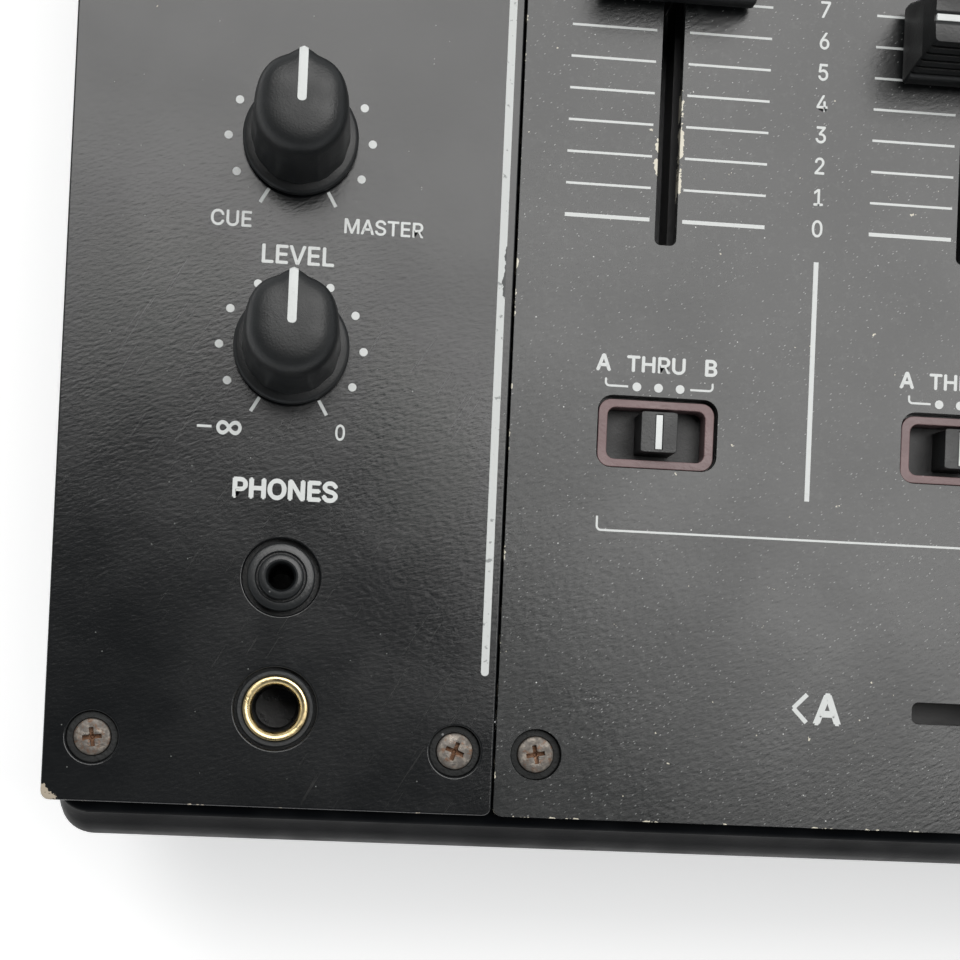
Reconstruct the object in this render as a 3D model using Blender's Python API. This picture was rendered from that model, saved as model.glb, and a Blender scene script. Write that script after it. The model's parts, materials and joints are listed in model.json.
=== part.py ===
"""Four-channel club DJ mixer: sheet-metal case, boards, knobs, faders, switches and sockets.

X runs to the user's right, Y away from the user, Z up. The origin is the centre of the
object's footprint, on the surface that its feet stand on. Lengths are in metres.
"""

import math

import bmesh
import bpy

MM = 0.001

# ---------------------------------------------------------------- driving dimensions
BODY_WIDTH = 333 * MM          # left edge to right edge of the top panels
PANEL_DEPTH = 405 * MM         # front edge to rear edge of the top panels
PANEL_TOP = 91.5 * MM          # top face of the panels above the table
PANEL_THICK = 2.0 * MM
FOOT_HEIGHT = 9.0 * MM
FIT_GAP = 0.3 * MM             # between fixed pieces that meet
RUN_GAP = 0.35 * MM            # around pieces that turn or slide
SIDE_OVERHANG = 1.7 * MM       # panels past the case and the front moulding
SHEET = 1.2 * MM               # steel sheet of the tray and the rear panel
PCB_THICK = 1.6 * MM

LEFT_STRIP = 62.0 * MM         # headphone strip's panel width
CHANNEL_PITCH = 43.9 * MM
FIRST_CHANNEL = 21.0 * MM      # left edge of the centre panel to channel 1's fader
CHANNELS = 4
FADER_PANEL_DEPTH = 145.0 * MM

BEZEL_BULGE = 5.4 * MM         # front moulding past the panels' front edge
BEZEL_DEPTH = 17.1 * MM        # front of the bulge to the back of the side returns
BEZEL_WALL = 2.5 * MM
BEZEL_CORNER = 4.5 * MM

FADER_TRAVEL = 45.0 * MM
FADER_ZERO = 85.0 * MM         # the 0 line from the panels' front edge
FADER_REST = (36.0 * MM, 27.0 * MM, 18.0 * MM, 31.5 * MM)
SLOT_WIDTH = 3.1 * MM
SLOT_END_ROOM = 1.0 * MM       # slot past the stem at each end of the travel
CAP_WIDTH = 22.0 * MM          # across the slot
CAP_LENGTH = 11.0 * MM         # along the slot
CAP_HEIGHT = 14.0 * MM
CAP_CLEAR = 1.2 * MM           # cap above the panel
STEM_WIDTH = 1.6 * MM
STEM_LENGTH = 5.0 * MM
STEM_DEPTH = 12.0 * MM         # below the panel's top face
CROSSFADER_ROW = 16.9 * MM
CROSSFADER_END_ROOM = 2.4 * MM

SWITCH_ROW = 54.8 * MM
SWITCH_WINDOW = (17.2 * MM, 10.2 * MM)
SWITCH_FRAME_WALL = 1.2 * MM
SWITCH_FRAME_DROP = 0.5 * MM   # frame top below the panel's top face
SWITCH_CAP = (5.2 * MM, 5.7 * MM)
SWITCH_STEP = 2.94 * MM        # middle position to either end
SWITCH_PROUD = 1.4 * MM

KNOB_SKIRT = 8.0 * MM          # radii
KNOB_WAIST = 6.65 * MM
KNOB_CROWN = 6.0 * MM
KNOB_HEIGHT = 16.5 * MM
BIG_KNOB_SCALE = 1.35          # effect knobs' radius against the others'
SHAFT_RADIUS = 3.0 * MM
SHAFT_DEPTH = 9.0 * MM         # below the panel's top face
PHONES_COLUMN = 31.4 * MM      # from the left edge
PHONES_LEVEL_ROW = 63.8 * MM
PHONES_MIX_ROW = 92.9 * MM
MIC_FROM_REAR = 60.0 * MM

CUE_FROM_FADER_PANEL = 22.0 * MM
TRIM_FROM_REAR = 62.0 * MM     # the tone knobs share the length between the cue and trim rows
CUE_BUTTON = (13.0 * MM, 7.0 * MM)
EFFECT_BUTTON = (18.0 * MM, 18.0 * MM)
BUTTON_PROUD = 2.4 * MM
BUTTON_TRAVEL = 1.0 * MM
PLUNGER_RADIUS = 1.5 * MM

EFFECT_BUTTON_ROW = 48.0 * MM
EFFECT_DEPTH_ROW = 106.0 * MM
EFFECT_SELECT_ROW = 160.0 * MM
BOOTH_FROM_REAR = 78.0 * MM
MASTER_FROM_REAR = 40.0 * MM

LARGE_JACK_ROW = 13.7 * MM
LARGE_JACK_HOLE = 5.75 * MM    # radii
LARGE_JACK_SLEEVE = 5.35 * MM
LARGE_JACK_BORE = 3.25 * MM
LARGE_JACK_DROP = 0.4 * MM     # sleeve's end below the panel's top face
SMALL_JACK_ROW = 31.9 * MM
SMALL_JACK_HOLE = 5.35 * MM
SMALL_JACK_NOSE = 4.7 * MM
SMALL_JACK_BORE = 1.75 * MM
SMALL_JACK_PROUD = 2.5 * MM
JACK_BODY = 7.2 * MM
JACK_BODY_LENGTH = 26.0 * MM
JACK_FLOOR = 2.0 * MM          # material below a jack's blind bore

SCREW_ROW = 8.8 * MM           # from the front or rear edge
SCREW_INSET = 6.6 * MM         # from the outer edges
SCREW_FROM_SEAM = 5.7 * MM     # from the seams beside the centre panel
SCREW_HEAD = 2.55 * MM         # radii
SCREW_RECESS = 3.6 * MM
SCREW_SHANK = 1.25 * MM
SCREW_HOLE = 1.6 * MM
SCREW_LENGTH = 9.0 * MM
RECESS_DEPTH = 1.3 * MM
RIM_WIDTH = 10.0 * MM          # folded rim along the top of the tray's walls
STANDOFF_RADIUS = 3.0 * MM
STANDOFF_INSET = 22.0 * MM     # control board's standoffs from the outer edges

POT_BODY = (10.0 * MM, 11.0 * MM)
POT_HEIGHT = 7.0 * MM
POT_DROP = 1.0 * MM            # pot's top below the panel's underside
FADER_BODY_WIDTH = 9.0 * MM
FADER_BODY_END = 7.0 * MM      # fader body past its slot
FADER_BODY_TOP = 5.0 * MM      # below the panel's underside
FADER_BODY_HEIGHT = 10.0 * MM

FOOT_RADIUS = 13.0 * MM
FOOT_PEG = 2.5 * MM
FOOT_INSET = (30.0 * MM, 32.0 * MM)

RCA_RADIUS = 4.2 * MM
RCA_PROUD = 5.0 * MM
RCA_ROWS = (34.0 * MM, 58.0 * MM)
INLET_PLATE = (30.0 * MM, 24.0 * MM)
INLET_RECESS = (24.0 * MM, 16.5 * MM)
INLET_DEPTH = 22.0 * MM
INLET_RECESS_DEPTH = 17.0 * MM
INLET_FLANGE = 1.5 * MM
INLET_HEIGHT = 34.0 * MM       # centre above the table
INLET_FROM_SIDE = 24.0 * MM
ROCKER = (12.0 * MM, 18.0 * MM)
ROCKER_DEPTH = 7.0 * MM
ROCKER_TILT = math.radians(10)
ROCKER_FROM_SIDE = 52.0 * MM
SUPPLY_BOX = (110.0 * MM, 78.0 * MM, 42.0 * MM)
SUPPLY_FROM_REAR = 48.0 * MM
FIN_COUNT = 7

# ---------------------------------------------------------------- places worked out
LEFT = -BODY_WIDTH / 2
RIGHT = BODY_WIDTH / 2
FRONT = -(BEZEL_BULGE + PANEL_DEPTH + RCA_PROUD) / 2 + BEZEL_BULGE
REAR = FRONT + PANEL_DEPTH
PANEL_UNDER = PANEL_TOP - PANEL_THICK
CASE_TOP = PANEL_UNDER - FIT_GAP
CASE_BOTTOM = FOOT_HEIGHT
FLOOR_TOP = CASE_BOTTOM + SHEET
CASE_LEFT = LEFT + SIDE_OVERHANG
CASE_RIGHT = RIGHT - SIDE_OVERHANG
TRAY_FRONT = FRONT - BEZEL_BULGE + BEZEL_DEPTH + FIT_GAP
TRAY_REAR = REAR - SHEET - FIT_GAP

CENTRE_LEFT = LEFT + LEFT_STRIP + FIT_GAP
CENTRE_WIDTH = 2 * FIRST_CHANNEL + (CHANNELS - 1) * CHANNEL_PITCH
CENTRE_RIGHT = CENTRE_LEFT + CENTRE_WIDTH
CENTRE_MID = (CENTRE_LEFT + CENTRE_RIGHT) / 2
STRIP_RIGHT = CENTRE_RIGHT + FIT_GAP
STRIP_MID = (STRIP_RIGHT + RIGHT) / 2
CHANNEL_X = [CENTRE_LEFT + FIRST_CHANNEL + i * CHANNEL_PITCH for i in range(CHANNELS)]
PHONES_X = LEFT + PHONES_COLUMN

CUE_ROW = FADER_PANEL_DEPTH + CUE_FROM_FADER_PANEL
TRIM_ROW = PANEL_DEPTH - TRIM_FROM_REAR
TONE_PITCH = (TRIM_ROW - CUE_ROW) / 4
LOW_ROW = CUE_ROW + TONE_PITCH
MID_ROW = LOW_ROW + TONE_PITCH
HIGH_ROW = MID_ROW + TONE_PITCH

POT_TOP = PANEL_UNDER - POT_DROP
PCB_TOP = POT_TOP - POT_HEIGHT
FADER_TOP = PANEL_UNDER - FADER_BODY_TOP
FADER_PCB_TOP = FADER_TOP - FADER_BODY_HEIGHT
STEM_HALF = STEM_LENGTH / 2
SLOT_HALF = FADER_TRAVEL / 2 + STEM_HALF + SLOT_END_ROOM
CROSS_SLOT_HALF = FADER_TRAVEL / 2 + STEM_HALF + CROSSFADER_END_ROOM
SLOT_MID_Y = FRONT + FADER_ZERO + FADER_TRAVEL / 2

ROUND = 12                     # sides of a turned piece
HOLE = 12                      # sides of a socket's or screw's hole
BORE = 8                       # sides of a shaft's bore and of a rear socket


# ---------------------------------------------------------------- building blocks
def clear_scene():
    for old in list(bpy.data.objects):
        bpy.data.objects.remove(old)


def material(name, colour, roughness, metallic=0.0):
    finish = bpy.data.materials.new(name)
    finish.use_nodes = True
    shader = finish.node_tree.nodes["Principled BSDF"]
    shader.inputs["Base Color"].default_value = (*colour, 1.0)
    shader.inputs["Roughness"].default_value = roughness
    shader.inputs["Metallic"].default_value = metallic
    return finish


def new_object(name, bm, finish=None):
    """Make the object of a bmesh, and free the bmesh."""
    bmesh.ops.recalc_face_normals(bm, faces=bm.faces)
    mesh = bpy.data.meshes.new(name)
    bm.to_mesh(mesh)
    bm.free()
    made = bpy.data.objects.new(name, mesh)
    bpy.context.scene.collection.objects.link(made)
    if finish:
        mesh.materials.append(finish)
    else:
        made.hide_render = True
        made.display_type = "WIRE"
    return made


def change(piece, kind, bm):
    """Cut the shapes in bm from the piece (DIFFERENCE) or join them to it (UNION)."""
    tool = new_object(f"{piece.name}_{kind.lower()}_{len(piece.modifiers)}", bm)
    step = piece.modifiers.new(kind.lower(), "BOOLEAN")
    step.operation = kind
    step.object = tool


def box(bm, low, high):
    prism(bm, [(low[0], low[1]), (high[0], low[1]), (high[0], high[1]), (low[0], high[1])],
          low[2], high[2])


def block(bm, centre, size, low, high):
    """A box given by its plan centre and size and by its two heights."""
    half = (size[0] / 2, size[1] / 2)
    box(bm, (centre[0] - half[0], centre[1] - half[1], low),
        (centre[0] + half[0], centre[1] + half[1], high))


def rings_to_body(bm, rings):
    """Skin a stack of equal rings and close both ends."""
    for lower, upper in zip(rings, rings[1:]):
        for i, start in enumerate(lower):
            j = (i + 1) % len(lower)
            bm.faces.new((start, lower[j], upper[j], upper[i]))
    bm.faces.new(list(reversed(rings[0])))
    bm.faces.new(rings[-1])


def prism(bm, outline, low, high):
    rings_to_body(bm, [[bm.verts.new((x, y, z)) for x, y in outline] for z in (low, high)])


def circle(centre, radius, sides):
    step = 2 * math.pi / sides
    return [(centre[0] + radius * math.cos(step * (i + 0.5)),
             centre[1] + radius * math.sin(step * (i + 0.5))) for i in range(sides)]


def turned(bm, centre, profile, sides=ROUND):
    """A body of stacked circles; the profile lists radius and height upwards."""
    rings_to_body(bm, [[bm.verts.new((x, y, z)) for x, y in circle(centre, radius, sides)]
                       for radius, z in profile])


def rounded(centre, size, radius, steps=3):
    """A rectangle's outline with round corners."""
    outline = []
    for quarter, (sx, sy) in enumerate(((1, 1), (-1, 1), (-1, -1), (1, -1))):
        cx = centre[0] + sx * (size[0] / 2 - radius)
        cy = centre[1] + sy * (size[1] / 2 - radius)
        for i in range(steps + 1):
            angle = math.pi / 2 * (quarter + i / steps)
            outline.append((cx + radius * math.cos(angle), cy + radius * math.sin(angle)))
    return outline


def along_x(bm, outline, left, right):
    """A prism along X whose outline is in Y and Z."""
    rings_to_body(bm, [[bm.verts.new((x, y, z)) for y, z in outline] for x in (left, right)])


def along_y(bm, outline, front, back):
    """A prism along Y whose outline is in X and Z."""
    rings_to_body(bm, [[bm.verts.new((x, y, z)) for x, z in outline] for y in (front, back)])


def cut_hole(bm, centre, radius, sides=BORE):
    prism(bm, circle(centre, radius, sides), PANEL_UNDER - SHEET, PANEL_TOP + SHEET)


def cut_shape(bm, outline):
    prism(bm, outline, PANEL_UNDER - SHEET, PANEL_TOP + SHEET)


def cut_screws(bm, places):
    """Recess and clearance hole of each panel screw, as one stepped body."""
    floor = PANEL_TOP - RECESS_DEPTH
    for place in places:
        turned(bm, place, [(SCREW_HOLE, PANEL_UNDER - SHEET), (SCREW_HOLE, floor),
                           (SCREW_RECESS, floor), (SCREW_RECESS, PANEL_TOP + SHEET)], HOLE)


def row(distance):
    return FRONT + distance


# ---------------------------------------------------------------- finishes
def make_finishes():
    return {
        "strip_paint": material("strip_paint", (0.045, 0.048, 0.05), 0.45, 0.1),
        "centre_paint": material("centre_paint", (0.125, 0.13, 0.13), 0.42, 0.25),
        "case_paint": material("case_paint", (0.02, 0.021, 0.022), 0.5, 0.1),
        "bezel_plastic": material("bezel_plastic", (0.012, 0.013, 0.014), 0.38),
        "knob_rubber": material("knob_rubber", (0.022, 0.024, 0.025), 0.6),
        "cap_plastic": material("cap_plastic", (0.03, 0.031, 0.032), 0.45),
        "button_plastic": material("button_plastic", (0.55, 0.56, 0.56), 0.4),
        "frame_plastic": material("frame_plastic", (0.115, 0.095, 0.095), 0.5),
        "jack_plastic": material("jack_plastic", (0.01, 0.01, 0.01), 0.4),
        "screw_steel": material("screw_steel", (0.27, 0.25, 0.23), 0.5, 0.9),
        "board": material("board", (0.02, 0.09, 0.045), 0.5),
        "supply_metal": material("supply_metal", (0.55, 0.56, 0.58), 0.4, 0.9),
        "foot_rubber": material("foot_rubber", (0.015, 0.015, 0.015), 0.8),
    }


# ---------------------------------------------------------------- case
FRONT_SCREW_Y = FRONT + SCREW_ROW
REAR_SCREW_Y = REAR - SCREW_ROW


def make_base_tray(finish):
    """Steel tray: floor, side walls with folded rims and vents, and the boards' standoffs."""
    rim = RIM_WIDTH
    outline = [(CASE_LEFT, CASE_BOTTOM), (CASE_RIGHT, CASE_BOTTOM), (CASE_RIGHT, CASE_TOP),
               (CASE_RIGHT - rim, CASE_TOP), (CASE_RIGHT - rim, CASE_TOP - SHEET),
               (CASE_RIGHT - SHEET, CASE_TOP - SHEET), (CASE_RIGHT - SHEET, FLOOR_TOP),
               (CASE_LEFT + SHEET, FLOOR_TOP), (CASE_LEFT + SHEET, CASE_TOP - SHEET),
               (CASE_LEFT + rim, CASE_TOP - SHEET), (CASE_LEFT + rim, CASE_TOP),
               (CASE_LEFT, CASE_TOP)]
    bm = bmesh.new()
    along_y(bm, outline, TRAY_FRONT, TRAY_REAR)
    tray = new_object("base_tray", bm, finish)

    pillars = bmesh.new()
    for place, board_under in standoff_places():
        turned(pillars, place, [(STANDOFF_RADIUS, FLOOR_TOP - SHEET / 2),
                                (STANDOFF_RADIUS, board_under - FIT_GAP)], HOLE)
    change(tray, "UNION", pillars)

    holes = bmesh.new()
    slots, slot_pitch, slot_width = 10, 8 * MM, 3 * MM
    for side in (CASE_LEFT, CASE_RIGHT):
        for i in range(slots):
            middle = TRAY_REAR - 60 * MM - i * slot_pitch
            box(holes, (side - 2 * SHEET, middle - slot_width / 2, FLOOR_TOP + 18 * MM),
                (side + 2 * SHEET, middle + slot_width / 2, FLOOR_TOP + 48 * MM))
    for x, y in foot_places():
        prism(holes, circle((x, y), FOOT_PEG + FIT_GAP, HOLE), 0, FLOOR_TOP + SHEET)
    change(tray, "DIFFERENCE", holes)


def standoff_places():
    """Plan place of each standoff and the underside of the board that it carries."""
    places = []
    for side in (-1, 1):
        x = side * (BODY_WIDTH / 2 - STANDOFF_INSET)
        for y in (row(FADER_PANEL_DEPTH + 12 * MM), REAR - 36 * MM):
            places.append(((x, y), PCB_TOP - PCB_THICK))
    for x in (CENTRE_LEFT + 10 * MM, CENTRE_RIGHT - 10 * MM):
        for distance in (30 * MM, FADER_PANEL_DEPTH - 6 * MM):
            places.append(((x, row(distance)), FADER_PCB_TOP - PCB_THICK))
    return places


def foot_places():
    dx = BODY_WIDTH / 2 - FOOT_INSET[0]
    return [(sx * dx, y) for y in (FRONT + FOOT_INSET[1], REAR - FOOT_INSET[1]) for sx in (-1, 1)]


def make_feet(finish):
    names = ("foot_front_left", "foot_front_right", "foot_rear_left", "foot_rear_right")
    top = CASE_BOTTOM - FIT_GAP
    for name, place in zip(names, foot_places()):
        bm = bmesh.new()
        turned(bm, (0, 0), [(FOOT_RADIUS - 1.5 * MM, 0), (FOOT_RADIUS, 1.5 * MM),
                            (FOOT_RADIUS, top), (FOOT_PEG, top), (FOOT_PEG, FLOOR_TOP + 2 * MM)])
        new_object(name, bm, finish).location = (*place, 0)


def bezel_outline(bulge):
    """Plan outline of the front moulding: flat front, round front corners, straight returns."""
    left, right = CASE_LEFT, CASE_RIGHT
    front, back = FRONT - bulge, TRAY_FRONT - FIT_GAP
    corner, steps = BEZEL_CORNER, 4
    outline = [(right, back), (left, back)]
    for i in range(steps + 1):
        angle = math.pi + math.pi / 2 * i / steps
        outline.append((left + corner + corner * math.cos(angle),
                        front + corner + corner * math.sin(angle)))
    for i in range(steps + 1):
        angle = 1.5 * math.pi + math.pi / 2 * i / steps
        outline.append((right - corner + corner * math.cos(angle),
                        front + corner + corner * math.sin(angle)))
    return outline


def make_front_bezel(finish):
    """Front moulding: bulges out below the panels, then leans back to the tray's bottom."""
    levels = [(CASE_BOTTOM, -7 * MM), (CASE_TOP - 29 * MM, BEZEL_BULGE - 1.5 * MM),
              (CASE_TOP - 22 * MM, BEZEL_BULGE), (CASE_TOP - 7 * MM, BEZEL_BULGE),
              (CASE_TOP - 3 * MM, BEZEL_BULGE - 1.6 * MM), (CASE_TOP, 1.8 * MM)]
    bm = bmesh.new()
    rings_to_body(bm, [[bm.verts.new((x, y, z)) for x, y in bezel_outline(bulge)]
                       for z, bulge in levels])
    bezel = new_object("front_bezel", bm, finish)
    hollow, holes = bmesh.new(), bmesh.new()
    back, step = TRAY_FRONT + SHEET, CASE_TOP - 30 * MM
    low_front, high_front = FRONT + 9.5 * MM, FRONT + BEZEL_WALL - 1 * MM
    along_x(hollow, [(low_front, CASE_BOTTOM + BEZEL_WALL), (back, CASE_BOTTOM + BEZEL_WALL),
                     (back, CASE_TOP - BEZEL_WALL), (high_front, CASE_TOP - BEZEL_WALL),
                     (high_front, step), (low_front, step - 3 * BEZEL_WALL)],
            CASE_LEFT + BEZEL_WALL, CASE_RIGHT - BEZEL_WALL)
    for x in (LEFT + SCREW_INSET, CENTRE_LEFT - SCREW_FROM_SEAM, CENTRE_LEFT + SCREW_FROM_SEAM,
              CENTRE_RIGHT - SCREW_FROM_SEAM, CENTRE_RIGHT + SCREW_FROM_SEAM,
              RIGHT - SCREW_INSET):
        prism(holes, circle((x, FRONT_SCREW_Y), SCREW_HOLE, HOLE),
              CASE_TOP - 2 * BEZEL_WALL, CASE_TOP + BEZEL_WALL)
    prism(holes, circle((PHONES_X, row(LARGE_JACK_ROW)), JACK_BODY + RUN_GAP, HOLE),
          CASE_TOP - 2 * BEZEL_WALL, CASE_TOP + BEZEL_WALL)
    change(bezel, "DIFFERENCE", hollow)
    change(bezel, "DIFFERENCE", holes)


def plate(name, finish, x0, x1, y0, y1, corner=1.2 * MM):
    bm = bmesh.new()
    prism(bm, rounded(((x0 + x1) / 2, (y0 + y1) / 2), (x1 - x0, y1 - y0), corner),
          PANEL_UNDER, PANEL_TOP)
    return new_object(name, bm, finish)


def make_left_panel(finish):
    panel = plate("left_panel", finish, LEFT, LEFT + LEFT_STRIP, FRONT, REAR)
    holes = bmesh.new()
    for y in (row(PHONES_LEVEL_ROW), row(PHONES_MIX_ROW), REAR - MIC_FROM_REAR):
        cut_hole(holes, (PHONES_X, y), SHAFT_RADIUS + RUN_GAP)
    cut_hole(holes, (PHONES_X, row(LARGE_JACK_ROW)), LARGE_JACK_HOLE, HOLE)
    cut_hole(holes, (PHONES_X, row(SMALL_JACK_ROW)), SMALL_JACK_HOLE, HOLE)
    cut_screws(holes, [(x, y) for x in (LEFT + SCREW_INSET, CENTRE_LEFT - SCREW_FROM_SEAM)
                       for y in (FRONT_SCREW_Y, REAR_SCREW_Y)])
    change(panel, "DIFFERENCE", holes)


def make_right_panel(finish):
    panel = plate("right_panel", finish, STRIP_RIGHT, RIGHT, FRONT, REAR)
    holes = bmesh.new()
    for y in (row(EFFECT_DEPTH_ROW), row(EFFECT_SELECT_ROW),
              REAR - BOOTH_FROM_REAR, REAR - MASTER_FROM_REAR):
        cut_hole(holes, (STRIP_MID, y), SHAFT_RADIUS + RUN_GAP)
    size = [side + 2 * RUN_GAP for side in EFFECT_BUTTON]
    cut_shape(holes, rounded((STRIP_MID, row(EFFECT_BUTTON_ROW)), size, 1.5 * MM))
    cut_screws(holes, [(x, y) for x in (RIGHT - SCREW_INSET, CENTRE_RIGHT + SCREW_FROM_SEAM)
                       for y in (FRONT_SCREW_Y, REAR_SCREW_Y)])
    change(panel, "DIFFERENCE", holes)


def make_fader_panel(finish):
    back = FRONT + FADER_PANEL_DEPTH
    panel = plate("fader_panel", finish, CENTRE_LEFT, CENTRE_RIGHT, FRONT, back)
    holes = bmesh.new()
    slot_corner = 0.8 * MM
    for x in CHANNEL_X:
        cut_shape(holes, rounded((x, SLOT_MID_Y), (SLOT_WIDTH, 2 * SLOT_HALF), slot_corner, 2))
        cut_shape(holes, rounded((x, row(SWITCH_ROW)), SWITCH_WINDOW, 1.6 * MM))
    cut_shape(holes, rounded((CENTRE_MID, row(CROSSFADER_ROW)),
                             (2 * CROSS_SLOT_HALF, SLOT_WIDTH), slot_corner, 2))
    cut_screws(holes, [(x, y) for x in (CENTRE_LEFT + SCREW_FROM_SEAM,
                                        CENTRE_RIGHT - SCREW_FROM_SEAM)
                       for y in (FRONT_SCREW_Y, back - SCREW_ROW)])
    change(panel, "DIFFERENCE", holes)


def make_upper_panel(finish):
    front = FRONT + FADER_PANEL_DEPTH + FIT_GAP
    panel = plate("upper_panel", finish, CENTRE_LEFT, CENTRE_RIGHT, front, REAR)
    holes = bmesh.new()
    for x in CHANNEL_X:
        for distance in (LOW_ROW, MID_ROW, HIGH_ROW, TRIM_ROW):
            cut_hole(holes, (x, row(distance)), SHAFT_RADIUS + RUN_GAP)
        size = [side + 2 * RUN_GAP for side in CUE_BUTTON]
        cut_shape(holes, rounded((x, row(CUE_ROW)), size, 1.5 * MM))
    cut_screws(holes, [(x, REAR_SCREW_Y) for x in (CENTRE_LEFT + SCREW_FROM_SEAM,
                                                   CENTRE_RIGHT - SCREW_FROM_SEAM)])
    change(panel, "DIFFERENCE", holes)


def rca_places():
    return [(x + dx, z) for x in CHANNEL_X for dx in (-9 * MM, 9 * MM) for z in RCA_ROWS]


def make_rear_panel(finish):
    bm = bmesh.new()
    box(bm, (CASE_LEFT, REAR - SHEET, CASE_BOTTOM), (CASE_RIGHT, REAR, CASE_TOP))
    panel = new_object("rear_panel", bm, finish)
    holes = bmesh.new()
    reach = (REAR - 3 * SHEET, REAR + 2 * SHEET)
    for place in rca_places():
        along_y(holes, circle(place, RCA_RADIUS + FIT_GAP, BORE), *reach)
    for centre, size in ((inlet_place(), INLET_PLATE), (rocker_place(), ROCKER)):
        opening = [side + 2 * RUN_GAP for side in size]
        along_y(holes, rounded(centre, opening, RUN_GAP, 1), *reach)
    change(panel, "DIFFERENCE", holes)


# ---------------------------------------------------------------- boards inside
def bored_pot(bodies, bores, place):
    block(bodies, place, POT_BODY, PCB_TOP - PCB_THICK / 2, POT_TOP)
    prism(bores, circle(place, SHAFT_RADIUS + RUN_GAP, BORE),
          PANEL_TOP - SHAFT_DEPTH - 1 * MM, POT_TOP + 1 * MM)


def bored_button_switch(bodies, bores, place):
    block(bodies, place, (POT_BODY[0], CUE_BUTTON[1]), PCB_TOP - PCB_THICK / 2,
          POT_TOP - 2 * MM)
    prism(bores, circle(place, PLUNGER_RADIUS + RUN_GAP, BORE), PCB_TOP + 1 * MM, POT_TOP)


def make_control_board(finish):
    """Board under the upper panel and both strips, with its pots and button switches."""
    edge, rear_edge = 14 * MM, 30 * MM
    back = REAR - rear_edge
    inner_left, inner_right = CENTRE_LEFT - 4 * MM, CENTRE_RIGHT + 4 * MM
    upper_front = FRONT + FADER_PANEL_DEPTH + 3 * MM
    phones_front = row(PHONES_LEVEL_ROW) - POT_BODY[1]
    effect_front = row(EFFECT_BUTTON_ROW) - POT_BODY[1]
    outline = [(LEFT + edge, phones_front), (inner_left, phones_front),
               (inner_left, upper_front), (inner_right, upper_front),
               (inner_right, effect_front), (RIGHT - edge, effect_front),
               (RIGHT - edge, back), (LEFT + edge, back)]
    bm = bmesh.new()
    prism(bm, outline, PCB_TOP - PCB_THICK, PCB_TOP)
    board = new_object("control_board", bm, finish)
    bodies, bores = bmesh.new(), bmesh.new()
    for place in knob_places().values():
        bored_pot(bodies, bores, place)
    for place in button_places().values():
        bored_button_switch(bodies, bores, place)
    change(board, "UNION", bodies)
    change(board, "DIFFERENCE", bores)


def make_fader_board(finish):
    """Board under the fader panel: fader bodies and slide switches with open grooves."""
    bm = bmesh.new()
    margin = 4 * MM
    front = row(CROSSFADER_ROW) - FADER_BODY_WIDTH / 2 - 2 * MM
    box(bm, (CENTRE_LEFT + margin, front, FADER_PCB_TOP - PCB_THICK),
        (CENTRE_RIGHT - margin, FRONT + FADER_PANEL_DEPTH - 1 * MM, FADER_PCB_TOP))
    board = new_object("fader_board", bm, finish)
    bodies, grooves = bmesh.new(), bmesh.new()
    sunk = FADER_PCB_TOP - PCB_THICK / 2
    groove_floor = PANEL_TOP - STEM_DEPTH - 1 * MM
    for x in CHANNEL_X:
        block(bodies, (x, SLOT_MID_Y), (FADER_BODY_WIDTH, 2 * (SLOT_HALF + FADER_BODY_END)),
              sunk, FADER_TOP)
        block(grooves, (x, SLOT_MID_Y), (SLOT_WIDTH, 2 * SLOT_HALF), groove_floor, PANEL_TOP)
        block(bodies, (x, row(SWITCH_ROW)), SWITCH_WINDOW, sunk, FADER_TOP)
        block(grooves, (x, row(SWITCH_ROW)), (2 * SWITCH_STEP + SWITCH_CAP[0], SLOT_WIDTH),
              groove_floor, PANEL_TOP)
    centre = (CENTRE_MID, row(CROSSFADER_ROW))
    block(bodies, centre, (2 * (CROSS_SLOT_HALF + FADER_BODY_END), FADER_BODY_WIDTH),
          sunk, FADER_TOP)
    block(grooves, centre, (2 * CROSS_SLOT_HALF, SLOT_WIDTH), groove_floor, PANEL_TOP)
    change(board, "UNION", bodies)
    change(board, "DIFFERENCE", grooves)


def make_rear_jack_board(finish):
    """Upright board behind the rear panel; its sixteen sockets stand out through it."""
    board_back = REAR - SHEET - 6 * MM
    half = CHANNEL_PITCH / 2 - 1 * MM
    bm = bmesh.new()
    box(bm, (CHANNEL_X[0] - half, board_back - PCB_THICK, RCA_ROWS[0] - 10 * MM),
        (CHANNEL_X[-1] + half, board_back, RCA_ROWS[1] + 10 * MM))
    board = new_object("rear_jack_board", bm, finish)
    sockets, bores = bmesh.new(), bmesh.new()
    for place in rca_places():
        along_y(sockets, circle(place, RCA_RADIUS, BORE), board_back - PCB_THICK / 2,
                 REAR + RCA_PROUD)
        along_y(bores, circle(place, RCA_RADIUS * 0.4, BORE), REAR - 4 * MM,
                 REAR + RCA_PROUD + 1 * MM)
    change(board, "UNION", sockets)
    change(board, "DIFFERENCE", bores)


def make_power_supply(finish):
    """Closed supply module with a finned lid, on the tray's floor at the right rear."""
    wide, deep, tall = SUPPLY_BOX
    right = CASE_RIGHT - SHEET - 8 * MM
    back = REAR - SUPPLY_FROM_REAR
    floor = FLOOR_TOP + FIT_GAP
    fin = 3 * MM
    bm = bmesh.new()
    box(bm, (right - wide, back - deep, floor), (right, back, floor + tall - 2 * fin))
    supply = new_object("power_supply", bm, finish)
    fins = bmesh.new()
    pitch = (wide - fin) / (FIN_COUNT - 1)
    for i in range(FIN_COUNT):
        left = right - wide + i * pitch
        box(fins, (left, back - deep, floor + tall - 3 * fin), (left + fin, back, floor + tall))
    change(supply, "UNION", fins)


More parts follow.
